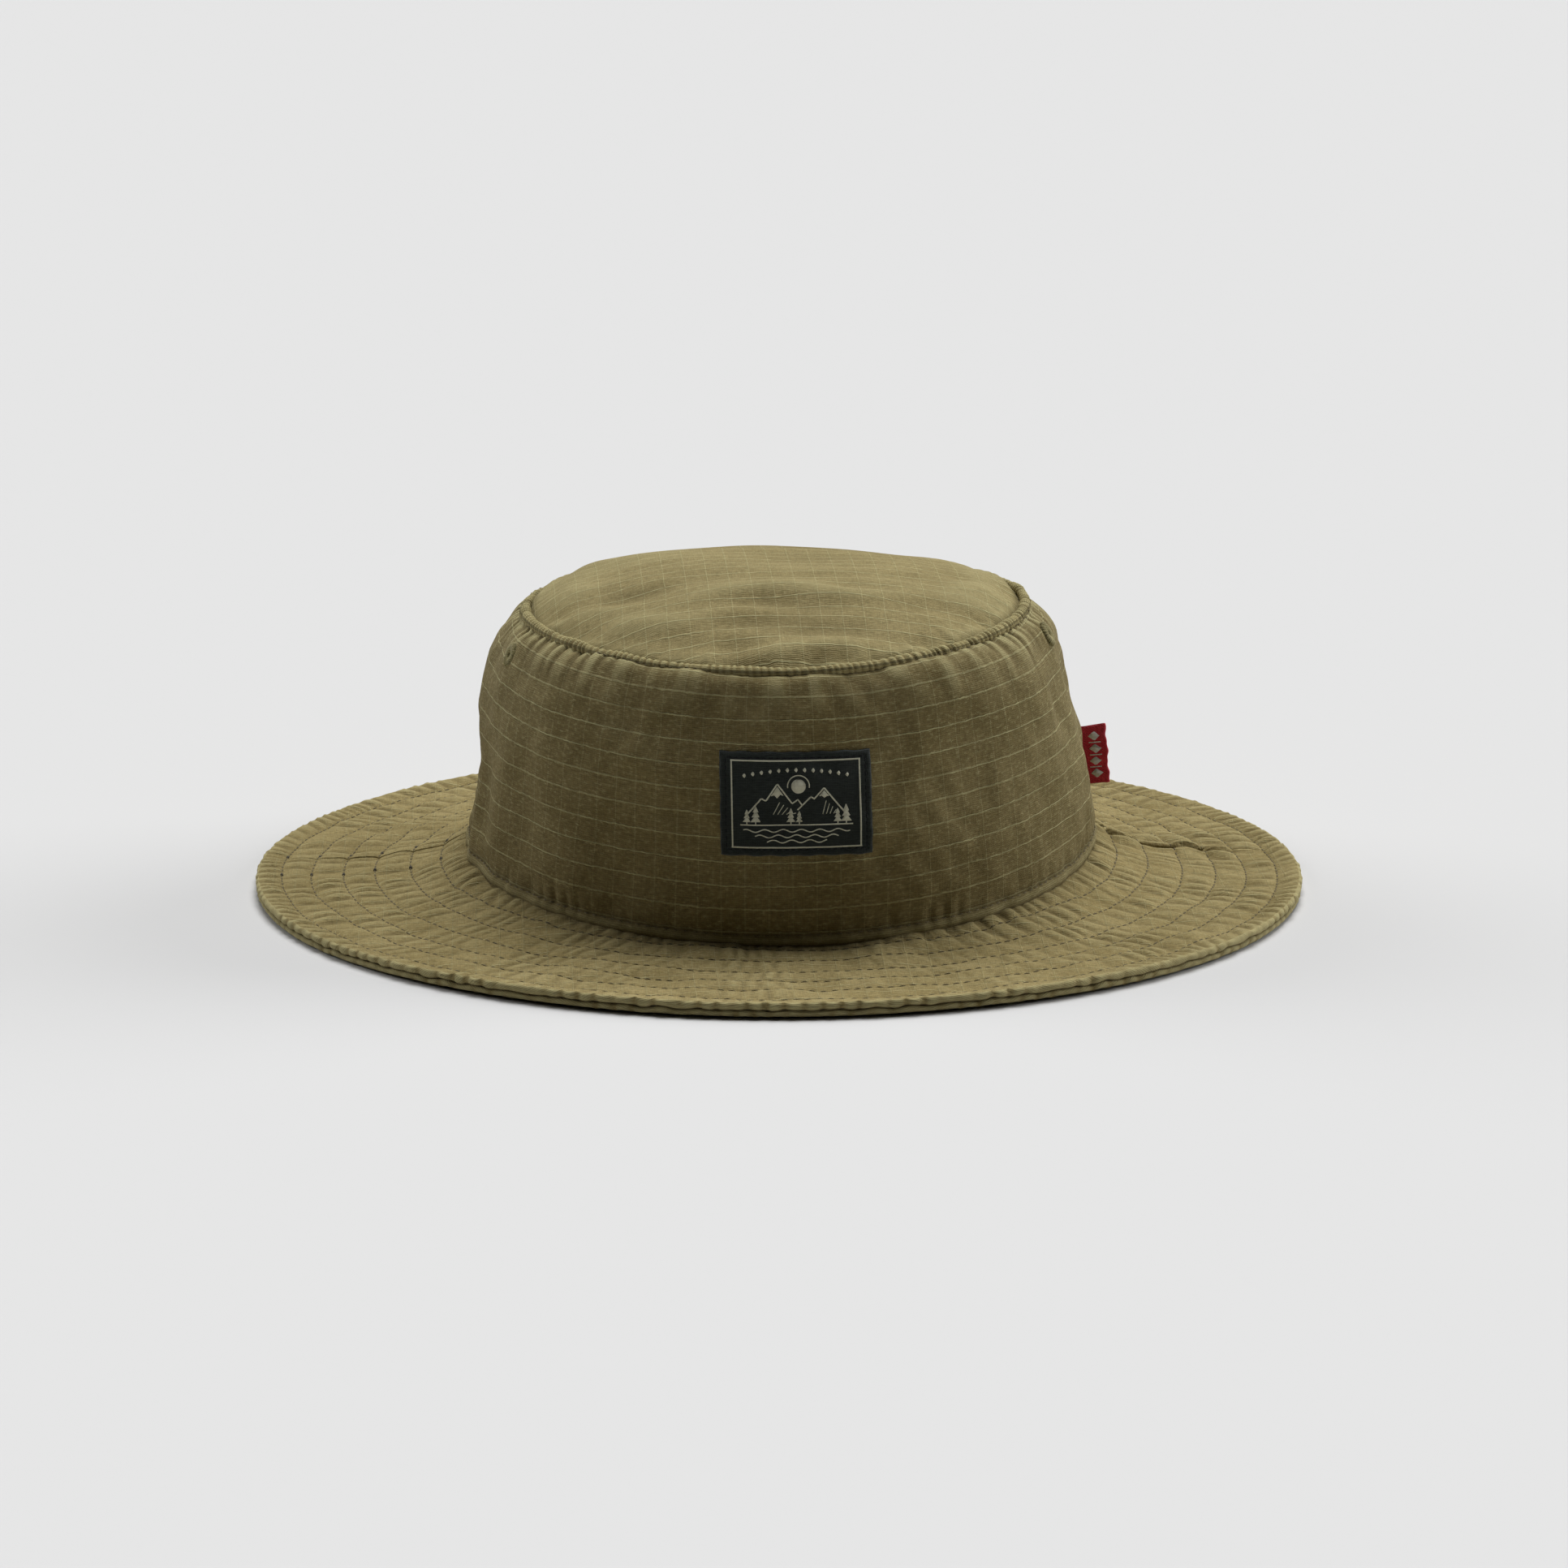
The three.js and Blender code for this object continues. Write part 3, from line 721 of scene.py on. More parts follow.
def side_panel(name, front):
    """The front or back half of the crown's side."""
    rows, cols = 112, 390
    w = wall_rows(rows)[:, None] * np.ones((1, cols))
    b = -wall_base(np.zeros(rows), w[:, 0])[:, 1]
    t = np.stack([half_turns(front, value, cols) for value in b])
    base = wall_base(t, w)
    normal = wall_normal(t, w)
    relief = wall_relief(t, w, base)
    outer = base + relief[..., None] * normal
    keep = np.r_[0:rows:4, rows - 1]
    inner = outer[keep] - normal[keep] * CLOTH
    # flat pattern: across from the panel's own middle row, up from the base seam
    middle = arc_lengths(base[rows // 3])
    rises = np.linalg.norm(np.diff(base, axis=0), axis=-1)
    up = np.concatenate([np.zeros((1, cols)), np.cumsum(rises, 0)])
    uv = np.stack([np.broadcast_to(middle, up.shape), up - 2.0], -1)
    above = base[..., 2] - wave(BASE_WAVE, t)
    proud = relief - (np.roll(relief, 4, 1) + np.roll(relief, -4, 1)) / 2
    # paler on the ridges of the upper wall and on the seam allowance's ridge, partly wear and partly
    # painted highlight; and paler towards the welt
    wear = 0.75 * np.clip(proud / 0.30, 0, 1) * step(w, 0.50, 0.85)
    wear += 0.45 * bell(above - 1.4, 1.0) + 0.15 * step(w, 0.80, 0.97)
    # painted shade in the creases between the gathers, and a painted shadow just above the seam
    # allowance's ridge and just below the base seam
    hollow = np.clip(-proud / 0.35, 0, 1) * step(w, 0.4, 0.8)
    hollow = hollow + 0.8 * bell(above - 3.2, 0.8) + bell(above + 0.8, 1.0)
    plain = 1 - step(above, 2.0, 3.2)
    values = {"wear": both(wear, keep), "hollow": both(hollow, keep), "plain": both(plain, keep)}
    return shell(name, np.concatenate([outer, inner[::-1]]), crown_cloth, both(uv, keep), **values)


def tip_panel(name):
    """The crown's top, one closed sheet with a tiny flat at its middle."""
    cols = 560
    rho = np.concatenate([[0.004, 0.012], np.linspace(0.03, 0.80, 62), np.linspace(0.81, 0.986, 26)])
    t, r = np.meshgrid(np.linspace(0, TAU, cols, endpoint=False), rho)
    base = tip_base(t, r)
    splay = 0.22  # how far the dome's outward direction leans over at its edge
    x, y = base[..., 0], base[..., 1]
    up = np.stack([x / TOP_A * splay * r, y / TOP_B * splay * r, np.ones(r.shape)], -1)
    up /= np.linalg.norm(up, axis=-1, keepdims=True)
    relief = tip_relief(t, r, base)
    outer = base + relief[..., None] * up
    outer[..., 2] -= 0.9 * step(r, 0.955, 0.99) * (1 - 0.6 * step(-np.cos(t), 0.04, 0.30))
    keep = np.r_[0 : len(rho) : 4, len(rho) - 1]
    inner = outer[keep] - up[keep] * CLOTH
    uv = base[..., :2] + relief[..., None] * 0.12
    # paler on the raised folds and towards the welt: partly wear, partly painted highlight
    wear = 0.12 + 0.25 * step(relief, -0.6, 0.6) + 0.20 * step(r, 0.90, 0.97)
    # painted shade by the welt seam and in the deepest dips
    hollow = 0.7 * step(r, 0.945, 0.985) + 0.35 * step(-relief, 0.9, 2.0)
    points = np.concatenate([outer, inner[::-1]])
    rows = len(points)
    quads = grid_faces(rows, cols, False, True)
    caps = (np.arange(cols)[::-1], (rows - 1) * cols + np.arange(cols))
    values = {"wear": both(wear, keep), "hollow": both(hollow, keep), "plain": np.zeros((rows, cols))}
    return build(name, points, quads, tip_cloth, caps, both(uv, keep), **values)


def welt_centre(t):
    """The middle of the top seam, and the level direction outward."""
    middle = np.stack([*oval(TOP_A, TOP_B, t, 1), wave(TOP_WAVE, t)], -1)
    out = np.stack([np.sin(t) / TOP_A, -np.cos(t) / TOP_B, np.zeros(t.shape)], -1)
    out /= np.linalg.norm(out, axis=-1, keepdims=True)
    return middle, out


def welt_ring(name):
    """The rolled seam between tip and side: oval in section, with fine ribs where the cloth is eased."""
    cols, sides = 1900, 18
    t, turn = np.meshgrid(np.linspace(0, TAU, cols, endpoint=False), np.arange(sides) / sides * TAU)
    middle, out = welt_centre(t)
    slant = t + 0.005 * np.sin(turn)
    count = 215
    strength = 0.85 + 0.25 * ring_noise(54, t, 8, 50)
    ribs = np.cos(count * slant + 1.8 * ring_noise(51, t, 4, 46)) * strength
    ribs = (ribs + 0.25 * ring_noise(55, slant, 240, 420)) * (0.5 + 0.85 * np.abs(np.sin(t)))
    swell = ring_noise(52, t, 8, 40)
    upper = np.clip(np.cos(turn - 0.9), 0, 1)
    radius_out = 1.38 + 0.25 * ribs * (0.5 + 0.5 * upper) + 0.10 * swell
    radius_up = 1.62 + 0.20 * ribs + 0.12 * swell
    lean = 0.55
    along_out = np.cos(turn) * radius_out
    along_up = np.sin(turn) * radius_up
    points = middle + out * (0.35 + along_out * math.cos(lean) - along_up * math.sin(lean))[..., None]
    points[..., 2] += along_out * math.sin(lean) + along_up * math.cos(lean) - 0.15
    around = np.broadcast_to(arc_lengths(middle[0]), t.shape)
    uv = np.stack([around, turn * 1.6], -1)
    # paler on the ribs' crests, more on the welt's upper side: partly wear, partly painted highlight on
    # the side that faces the light
    wear = 0.15 + 0.75 * (0.3 + 0.7 * upper) * step(ribs, -0.5, 0.6)
    # painted shade between the ribs
    values = {"wear": wear, "hollow": 1.0 - step(ribs, -1.1, 0.0), "plain": np.ones(t.shape)}
    return build(name, points, grid_faces(sides, cols, True, True), welt_cloth, (), uv, **values)


def base_run(front):
    """The path of the stitches above the base seam, on the front or back half of the wall."""
    above = 2.7
    t = half_turns(front, BASE_B, 700)[4:-4]
    w = wall_row(t, wave(BASE_WAVE, t) + above)
    return wall(t, w), wall_normal(t, w)


def welt_run():
    """The path of the stitches under the welt."""
    t = np.linspace(0, TAU, 2400)
    w = np.full(t.shape, 0.955)
    return wall(t, w, -0.05), wall_normal(t, w)


crown_pieces = (
    (side_panel("crown_side_front_cloth", True), "crown_side_front", "crown_cloth"),
    (side_panel("crown_side_back_cloth", False), "crown_side_back", "crown_cloth"),
    (tip_panel("crown_tip_cloth"), "crown_tip", "crown_cloth"),
    (welt_ring("crown_welt_roll"), "crown_welt", "binding"),
)
for piece, node, slot in crown_pieces:
    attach(piece, "hat")
    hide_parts(node)
base_runs = [base_run(True), base_run(False)]
sewn = stitches("crown_base_stitches", base_runs, olive_thread, pitch=2.9, wide=0.26, tall=0.18)
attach(sewn, "hat")
seam = {"pitch": 2.6, "wide": 0.20, "tall": 0.14, "length": 0.6}
sewn = stitches("crown_welt_stitches", [welt_run()], olive_thread, **seam)
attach(sewn, "hat")


# ---------------------------------------------------------------- brim
def brim_profile(cols_t):
    """For every row of the brim: its distance in from the edge, its share of its band between two lines
    of stitching, and that band's number. Also the row number of each line of stitching."""
    reach = brim_plan(cols_t, 0.0)[3]
    lines_at = [np.full(cols_t.shape, UPPER_ROLL["radius"])]
    for k, d in enumerate(STITCH_ROWS):
        wobble = 0.22 * ring_noise(60 + k, cols_t, 3, 11, 14)
        lines_at.append(np.minimum(d + wobble, reach - 3.0 + 0.3 * k / 5))
    lines_at.append(reach + 0.4)
    rows, marks, share, band = [], [], [], []
    counts = (9, 10, 10, 10, 10, 10, 8)
    for k, count in enumerate(counts):
        x = (1 - np.cos(math.pi * np.arange(count) / count)) / 2
        for value in x:
            rows.append(lines_at[k] + (lines_at[k + 1] - lines_at[k]) * value)
            share.append(value)
            band.append(k)
        marks.append(len(rows))
    rows.append(lines_at[-1])
    share.append(1.0)
    band.append(len(counts) - 1)
    return np.stack(rows), np.array(share), np.array(band), marks[:-1]


def brim_relief(t, d, share, band, x, y, s, reach, side):
    """Puckers between the lines of stitching, which pull the cloth down, without and then with the whole
    cloth's swell. side tells the two cloths apart."""
    out = np.zeros(t.shape)
    inward = s * reach  # from the crown
    strength = 0.85 + 0.20 * ring_noise(70 + side, t, 3, 14, 14)
    strength = strength * (0.38 + 1.25 * np.abs(np.sin(t)) ** 1.5)
    # shared by all bands, so that bulges run on across them
    drift = 0.018 * ring_noise(90 + side, t, 4, 26)
    for k in range(7):
        pick = band == k
        hump = np.sin(math.pi * share[pick])[:, None] ** 0.8
        slant = (share[pick, None] - 0.5) * 0.012 * ring_noise(71 + k, t[pick], 3, 9, 8)
        if k == 0:
            shape = 0.60 * bulges(80 + side, t[pick] + slant + drift[pick], 190)
            hump = np.sin(math.pi * np.clip(share[pick] * 0.9 + 0.1, 0, 1))[:, None] ** 0.7
        else:
            shape = 0.68 * bulges(80 + 10 * k + side, t[pick] + slant + drift[pick], 108, 1.1)
        out[pick] = hump * shape * strength[pick]
    for k in range(1, 7):
        outer_gap = np.where(band[:, None] == k, share[:, None], 9)
        inner_gap = np.where(band[:, None] == k - 1, 1 - share[:, None], 9)
        near = np.minimum(outer_gap, inner_gap) * ROW_GAP
        out -= 0.24 * bell(near, 0.6)
    # the cloth is eased into the crown's base
    gather = puffed(ring_noise(99 + side, t, 45, 95))
    out += (0.10 + 0.30 * np.abs(np.sin(t))) * gather * np.exp(-inward / 7.5) * step(inward, -0.5, 1.5)
    flat = np.stack([x, y, 0 * x], -1)
    swell = (0.26 * cloud(98 + side, flat, 24) + 0.12 * cloud(97 + side, flat, 9)) * step(d, 2, 9)
    return out, np.maximum(out + swell, -0.8)


def seam_relief(x, y, d, side):
    """The brim's side seams: a pressed fold with a narrow groove, puckered on the wearer's left."""
    gap = y - SEAM_Y
    left = x > 0
    lap = gap + np.where(left, 0.8 * np.sin(x / 5.1) + 0.5 * np.sin(x / 2.3 + 1), 0.0)
    crease = bell(lap + 0.5, 0.55)
    out = -0.45 * crease
    out += np.where(left, 1.05, 0.55) * step(lap, -0.2, 0.2) * (1 - step(lap, 1.4, 5.5))
    out += np.where(left, 0.75, 0.0) * bell(lap + 5.0, 2.0)
    wobble = cloud(100 + side, np.stack([x, y * 0.3, 0 * x], -1), 13)
    out += np.where(left, 0.45, 0.22) * wobble * bell(gap, 6)
    reach = step(np.abs(x), BASE_A - 8, BASE_A + 6)
    reach = reach * np.where(left, step(d, 11.0, 20.0), step(d, 5.0, 30.0))
    # the second value marks the seam's crease, which gets painted shade
    return out * reach, crease * reach


def brim_cloth_piece(name, front, top, material):
    """Half of the upper or lower cloth with its turned edge, and the paths of its rows of stitching."""
    cols = 760
    end_rows = half_turns(front, (BASE_B + EDGE_B) / 2, cols)
    rows_d, share, band, marks = brim_profile(end_rows)
    t = np.broadcast_to(end_rows, rows_d.shape).copy()
    # pull the columns so that both ends lie on the straight side seam
    for _ in range(3):
        x, y, s, reach = brim_plan(t, rows_d)
        b = BASE_B + (EDGE_B - BASE_B) * s
        ends = seam_turn(b[:, [0, -1]].mean(1))
        blend = np.linspace(-1, 1, cols)
        t = blend[None] * ends[:, None] if front else math.pi + blend[None] * (math.pi - ends[:, None])
    x, y, s, reach = brim_plan(t, rows_d)
    side = 0 if top else 5
    puckers, relief = brim_relief(t, rows_d, share, band, x, y, s, reach, side)
    lap, crease = seam_relief(x, y, rows_d, side)
    relief = np.maximum(relief + lap, -DEEPEST)
    lift = brim_lift(t, s)
    flat = np.stack([x, y, np.zeros(x.shape)], -1)
    out_way = np.stack([(EDGE_A - BASE_A) * np.sin(t), -(EDGE_B - BASE_B) * np.cos(t), 0 * t], -1)
    out_way /= np.linalg.norm(out_way, axis=-1, keepdims=True)
    roll = UPPER_ROLL if top else LOWER_ROLL
    inset = roll["inset"]
    radius = roll["radius"]
    d0 = rows_d[0]
    t0, out0, lift0 = t[0], out_way[0], lift[0]
    dense = ring_noise(110 + side, t0, 150, 230)
    swell = 0.13 * puffed(dense) + 0.05 * ring_noise(111 + side, t0, 6, 40)
    nudge = 0.17 * ring_noise(112, t0, 55, 115)
    if top:
        surface = BRIM_STACK + lift
        swollen = (roll["z"] + radius - BRIM_STACK) * (1 - step(rows_d, 0, 6.5)) + relief
        z_outer = surface + swollen
        sign = 1
    else:
        surface = BRIM_FACE + lift
        swollen = (BRIM_FACE - roll["z"] + radius) * (1 - step(rows_d, 0, 5)) + 0.6 * relief
        z_outer = surface - np.minimum(swollen, BRIM_FACE)
        sign = -1
    outer = flat.copy()
    outer[..., 2] = z_outer
    outer -= out_way * (inset * (1 - step(rows_d, 0, 6)))[..., None]
    # the turned edge: an arc from the cloth's face round to the seam between the two rolls
    angles = np.radians(np.linspace(80, -125, 15))
    centre = flat[0] - out0 * (inset + radius - d0)[..., None]
    arc_rows = []
    start_z = z_outer[0] - sign * radius * (1 + swell)
    for k, angle in enumerate(angles):
        grow = radius * (1 + swell * math.cos(angle * 0.8))
        share_out = min(1, k / 4)
        row = centre + out0 * (grow * math.cos(angle) + 0.5 * nudge * share_out)[..., None]
        level = start_z + (roll["z"] + lift0 + nudge - start_z) * share_out
        row[..., 2] = level + sign * grow * math.sin(angle)
        arc_rows.append(row)
    arc = np.stack(arc_rows)
    # the inner face, coarser and even
    keep = np.r_[0 : len(rows_d) - 1 : 4, len(rows_d) - 1]
    back = flat[keep].copy()
    back[..., 2] = surface[keep] - sign * BRIM_INNER["top" if top else "under"]
    back[0] -= out0 * (radius + inset)
    loop = np.concatenate([outer[::-1], arc, back])
    arc_out = np.radians(80 - np.degrees(angles))[:, None] * radius
    uv_arc = flat[None, 0, :, :2] + out0[None, :, :2] * arc_out[..., None]
    uv = np.concatenate([flat[::-1, :, :2], uv_arc, flat[keep][..., :2]])
    beside = np.pad(puckers, ((0, 0), (4, 4)), mode="edge")
    creased = (beside[:, :-8] + beside[:, 8:]) / 2 - puckers  # above 0 in a crease, below 0 on a ridge
    proud = np.clip(-creased / 0.35, 0, 1)
    # paler on the pucker ridges and near the turned edge: partly wear, partly painted highlight
    wear_outer = 0.30 * proud + 0.45 * (1 - step(rows_d, 0.5, 4.5)) * (0.3 + 0.7 * proud)
    # the turned edge is pale, with painted shade towards its underside; the lower roll fades less, so that
    # it stays paler as painted light
    fade = 0.6 if top else 0.25
    wear_arc = np.broadcast_to(0.66 + 0.2 * puffed(dense), arc.shape[:2])
    wear_arc = wear_arc * (1 - step(np.degrees(-angles), -10, 80)[:, None] * fade)
    wear = np.concatenate([wear_outer[::-1], wear_arc, np.zeros(back.shape[:2])])
    # painted shade in the puckers' creases, near the crown's base, under the turned edge and in the side
    # seam's crease
    hollow_outer = np.clip(creased / 0.40, 0, 1) * 0.8 + 0.5 * np.exp(-np.maximum(s * reach, 0) / 2.5)
    hollow_arc = np.broadcast_to(step(np.degrees(-angles), 20, 85)[:, None] * 0.9, arc.shape[:2])
    hollow_outer += 0.9 * crease
    hollow = np.concatenate([hollow_outer[::-1], hollow_arc, np.zeros(back.shape[:2])])
    plain_outer = 1 - step(rows_d, 2.5, 5.0)
    plain = np.concatenate([plain_outer[::-1], np.ones(arc.shape[:2]), np.zeros(back.shape[:2])])
    piece = shell(name, loop, material, uv, wear=wear, hollow=hollow, plain=plain)
    normals = np.zeros(outer.shape)
    normals[..., 2] = sign
    return piece, [(outer[m], normals[m]) for m in marks]


def front_or_back(piece, front):
    """Bakes the piece's placement into its mesh, and finds the fold line of its half of the brim and a
    stretch round it.
    """
    body, sign = ("front_brim", -1) if front else ("back_brim", 1)
    fold = pivot(f"{body}_turn")
    near, far = ((0, (fold[1] + sign * out) * MM, fold[2] * MM) for out in BEND)
    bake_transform(piece)
    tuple(near)
    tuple(far)


def tacks(runs, y):
    """Threads of the knots where the rows of stitching begin and end, on the wearer's right."""
    threads = []
    for path, _ in runs:
        right = np.flatnonzero(path[:, 0] < 0)
        middle = path[right[np.argmin(np.abs(path[right, 1] - y))]]
        for k in range(3):
            start = middle + (0.38 * (k - 1), -1.1 - 0.25 * k, 0.12)
            end = middle + (0.34 * (1 - k), 1.0 + 0.2 * k, 0.12)
            threads.append((np.linspace(start, end, 6) + (0, 0, 0.15), np.tile((0.0, 0.0, 1.0), (6, 1))))
    return threads


def stiffener(name, front):
    """The interlining between the two cloths, held by the stitch rows."""
    cols = 260
    d = np.append(np.arange(3.0, 61.0, 2.5), 200.0)[:, None]
    t = np.broadcast_to(half_turns(front, (BASE_B + EDGE_B) / 2, cols), (len(d), cols))
    reach = brim_plan(t, 0.0)[3]
    x, y, s, reach = brim_plan(t, np.minimum(d, reach - 0.6))
    lift = brim_lift(t, s)
    under, top = (np.stack([x, y, lift + level], -1) for level in PLATE)
    loop = np.concatenate([top, under[::-1]])
    return shell(name, loop, stiff_cloth, loop[..., :2])


for front in (True, False):
    where = "front" if front else "back"
    for layer, material in (("top", brim_cloth), ("under", under_cloth)):
        node = f"brim_{layer}_{where}"
        cloth, runs = brim_cloth_piece(f"{node}_cloth", front, layer == "top", material)
        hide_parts(node, f"{node}_flap")
        front_or_back(cloth, front)
        seam = {"pitch": STITCH, "wide": 0.26, "tall": 0.17, "sink": 0.22, "length": 0.82}
        sewn = stitches(f"{node}_stitches", runs, olive_thread, **seam)
        front_or_back(sewn, front)
        if layer == "top":
            knots = tacks(runs, SEAM_Y - 15.5 if front else SEAM_Y + 5.5)
            seam = {"pitch": 2.0, "wide": 0.24, "tall": 0.22, "sink": 0.15, "length": 0.95}
            knots = stitches(f"brim_{where}_tacks", knots, dark_thread, **seam)
            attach(knots, "hat")
    plate = stiffener(f"brim_stiffener_{where}_plate", front)
    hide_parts(f"brim_stiffener_{where}", f"brim_stiffener_{where}_flap")
    front_or_back(plate, front)


# ---------------------------------------------------------------- parts sewn to the crown
class Heap:
    """Several closed parts gathered into one mesh."""

    def __init__(self):
        self.points, self.quads, self.caps, self.uv = [], [], [], []
        self.count = 0

    def add(self, points, quads, caps=(), uv=None):
        points = np.asarray(points, float).reshape(-1, 3)
        if signed_volume(points - points.mean(0), quads) < 0:
            quads = quads[:, ::-1]
            caps = [cap[::-1] for cap in caps]
        self.points.append(points)
        self.quads.append(quads + self.count)
        self.caps += [np.asarray(cap) + self.count for cap in caps]
        self.uv.append(points[:, :2] if uv is None else np.asarray(uv, float).reshape(-1, 2))
        self.count += len(points)

    def tube(self, loop, uv):
        """Adds a grid whose rows close into a tube with flat ends."""
        rows, cols = loop.shape[:2]
        self.add(loop, grid_faces(rows, cols, True, False), ends_of(rows, cols), uv)

    def make(self, name, material):
        points, quads = np.concatenate(self.points), np.concatenate(self.quads)
        return build(name, points, quads, material, self.caps, np.concatenate(self.uv), turn=False)


def slab(heap, place, u, v, top, bottom):
    """A thin closed sheet laid by place(u, v, out), between two heights. top may be a function."""
    across, along = np.meshgrid(u, v)
    height = top(across, along) if callable(top) else np.full(across.shape, float(top))
    loop = np.concatenate([place(across, along, height), place(across, along, bottom + 0 * across)[::-1]])
    heap.tube(loop, both(np.stack([across, along], -1)))


def even_rows(loop, across, spacing):
    """The flat pattern of a folded tape, whose rows lie evenly."""
    return np.stack(np.broadcast_arrays(across[None], np.cumsum(np.full(len(loop), spacing))[:, None]), -1)


def evenly(path, spacing):
    """Points at an even spacing along a path."""
    path = np.asarray(path, float)
    along = arc_lengths(path)
    count = max(2, int(along[-1] / spacing) + 1)
    at = np.linspace(0, along[-1], count)
    return np.stack([np.interp(at, along, path[:, k]) for k in range(2)], -1)


def ribbon(heap, place, path, width, low, high):
    """A flat raised line along a path in the piece's own plane."""
    path = evenly(path, 0.35)
    way = np.gradient(path, axis=0)
    way /= np.linalg.norm(way, axis=1, keepdims=True)
    side = np.stack([-way[:, 1], way[:, 0]], -1) * width / 2
    rows = [path - side, path - side * 0.8, path + side * 0.8, path + side]
    levels = [low, high, high, low]
    loop = np.stack([place(r[:, 0], r[:, 1], np.full(len(r), z)) for r, z in zip(rows, levels)])
    heap.tube(loop, np.stack(rows))


def filled(heap, place, outline, low, high):
    """A flat raised shape inside an outline, which is a closed list of corners."""
    outline = np.asarray(outline, float)
    if len(outline) < 12:
        outline = evenly(np.concatenate([outline, outline[:1]]), 0.5)[:-1]
    n = len(outline)
    loop = np.stack([place(outline[:, 0], outline[:, 1], np.full(n, z)) for z in (low, high)])
    caps = (np.arange(n)[::-1], n + np.arange(n))
    heap.add(loop, grid_faces(2, n, False, True), caps, np.stack([outline, outline]))


def sides_of(u, v):
    """The four sides of a rectangle, each as its two ends."""
    corners = [(-u, -v), (u, -v), (u, v), (-u, v), (-u, -v)]
    return [[a, b] for a, b in zip(corners, corners[1:])]


def circle(x, y, radius, count=28, begin=0.0, end=TAU):
    turn = np.linspace(begin, end, count)
    return np.stack([x + radius * np.cos(turn), y + radius * np.sin(turn)], -1)


def soft_edge(u, v, half_u, half_v, radius):
    """0 at the edge of a rectangle, rising roundly to 1 at the given distance in."""
    near = np.minimum(half_u - np.abs(u), half_v - np.abs(v))
    k = np.clip(near / radius, 0, 1)
    return np.sqrt(np.maximum(1 - (1 - k) ** 2, 0))


PATCH_HALF = (21.0, (PATCH_HIGH[2] - PATCH_LOW[2]) / 2)
PATCH_MIDDLE = (PATCH_HIGH[2] + PATCH_LOW[2]) / 2
PATCH_THICK = 0.75
PATCH_SEAM = 1.7  # from the patch's edge to its stitches


def patch_turn(u, v):
    """The turn and row of the wall under a place on the patch."""
    w = wall_row(0 * u, PATCH_MIDDLE + v)
    t = u / wall_base(0 * u + math.pi / 2, w)[..., 0]
    return t, wall_row(t, PATCH_MIDDLE + v)


def patch_place(u, v, out):
    t, w = patch_turn(u, v)
    return wall(t, w, -np.asarray(out))


def patch_top(u, v):
    """The height of the patch's face over the wall."""
    half_u, half_v = PATCH_HALF
    near = np.minimum(half_u - np.abs(u), half_v - np.abs(v))
    height = 0.15 + PATCH_THICK * soft_edge(u, v, half_u, half_v, 0.6)
    height -= 0.22 * bell(near - PATCH_SEAM, 0.35)  # pressed down by its stitches
    height += 0.05 * np.sin(u * 1.7 + np.sin(v)) * bell(near - 0.8, 0.6)
    return height + 0.06 * np.sin(u / 5.0 + 1.0) * np.cos(v / 4.0)


def front_patch():
    """The patch's cloth, with slightly wavy edges."""
    heap = Heap()
    half_u, half_v = PATCH_HALF
    u = np.linspace(-half_u, half_u, 190)
    v = np.linspace(-half_v, half_v, 130)

    def wavy(a, b, out):
        a = a + 0.10 * np.sin(b * 1.3) * step(np.abs(a), half_u - 1.5, half_u)
        b = b + 0.12 * np.sin(a * 0.9 + 2) * step(np.abs(b), half_v - 1.5, half_v)
        return patch_place(a, b, out)

    slab(heap, wavy, u, v, patch_top, 0.05)
    cloth = heap.make("front_patch_cloth", patch_weave)
    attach(cloth, "hat")
    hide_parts("front_patch")


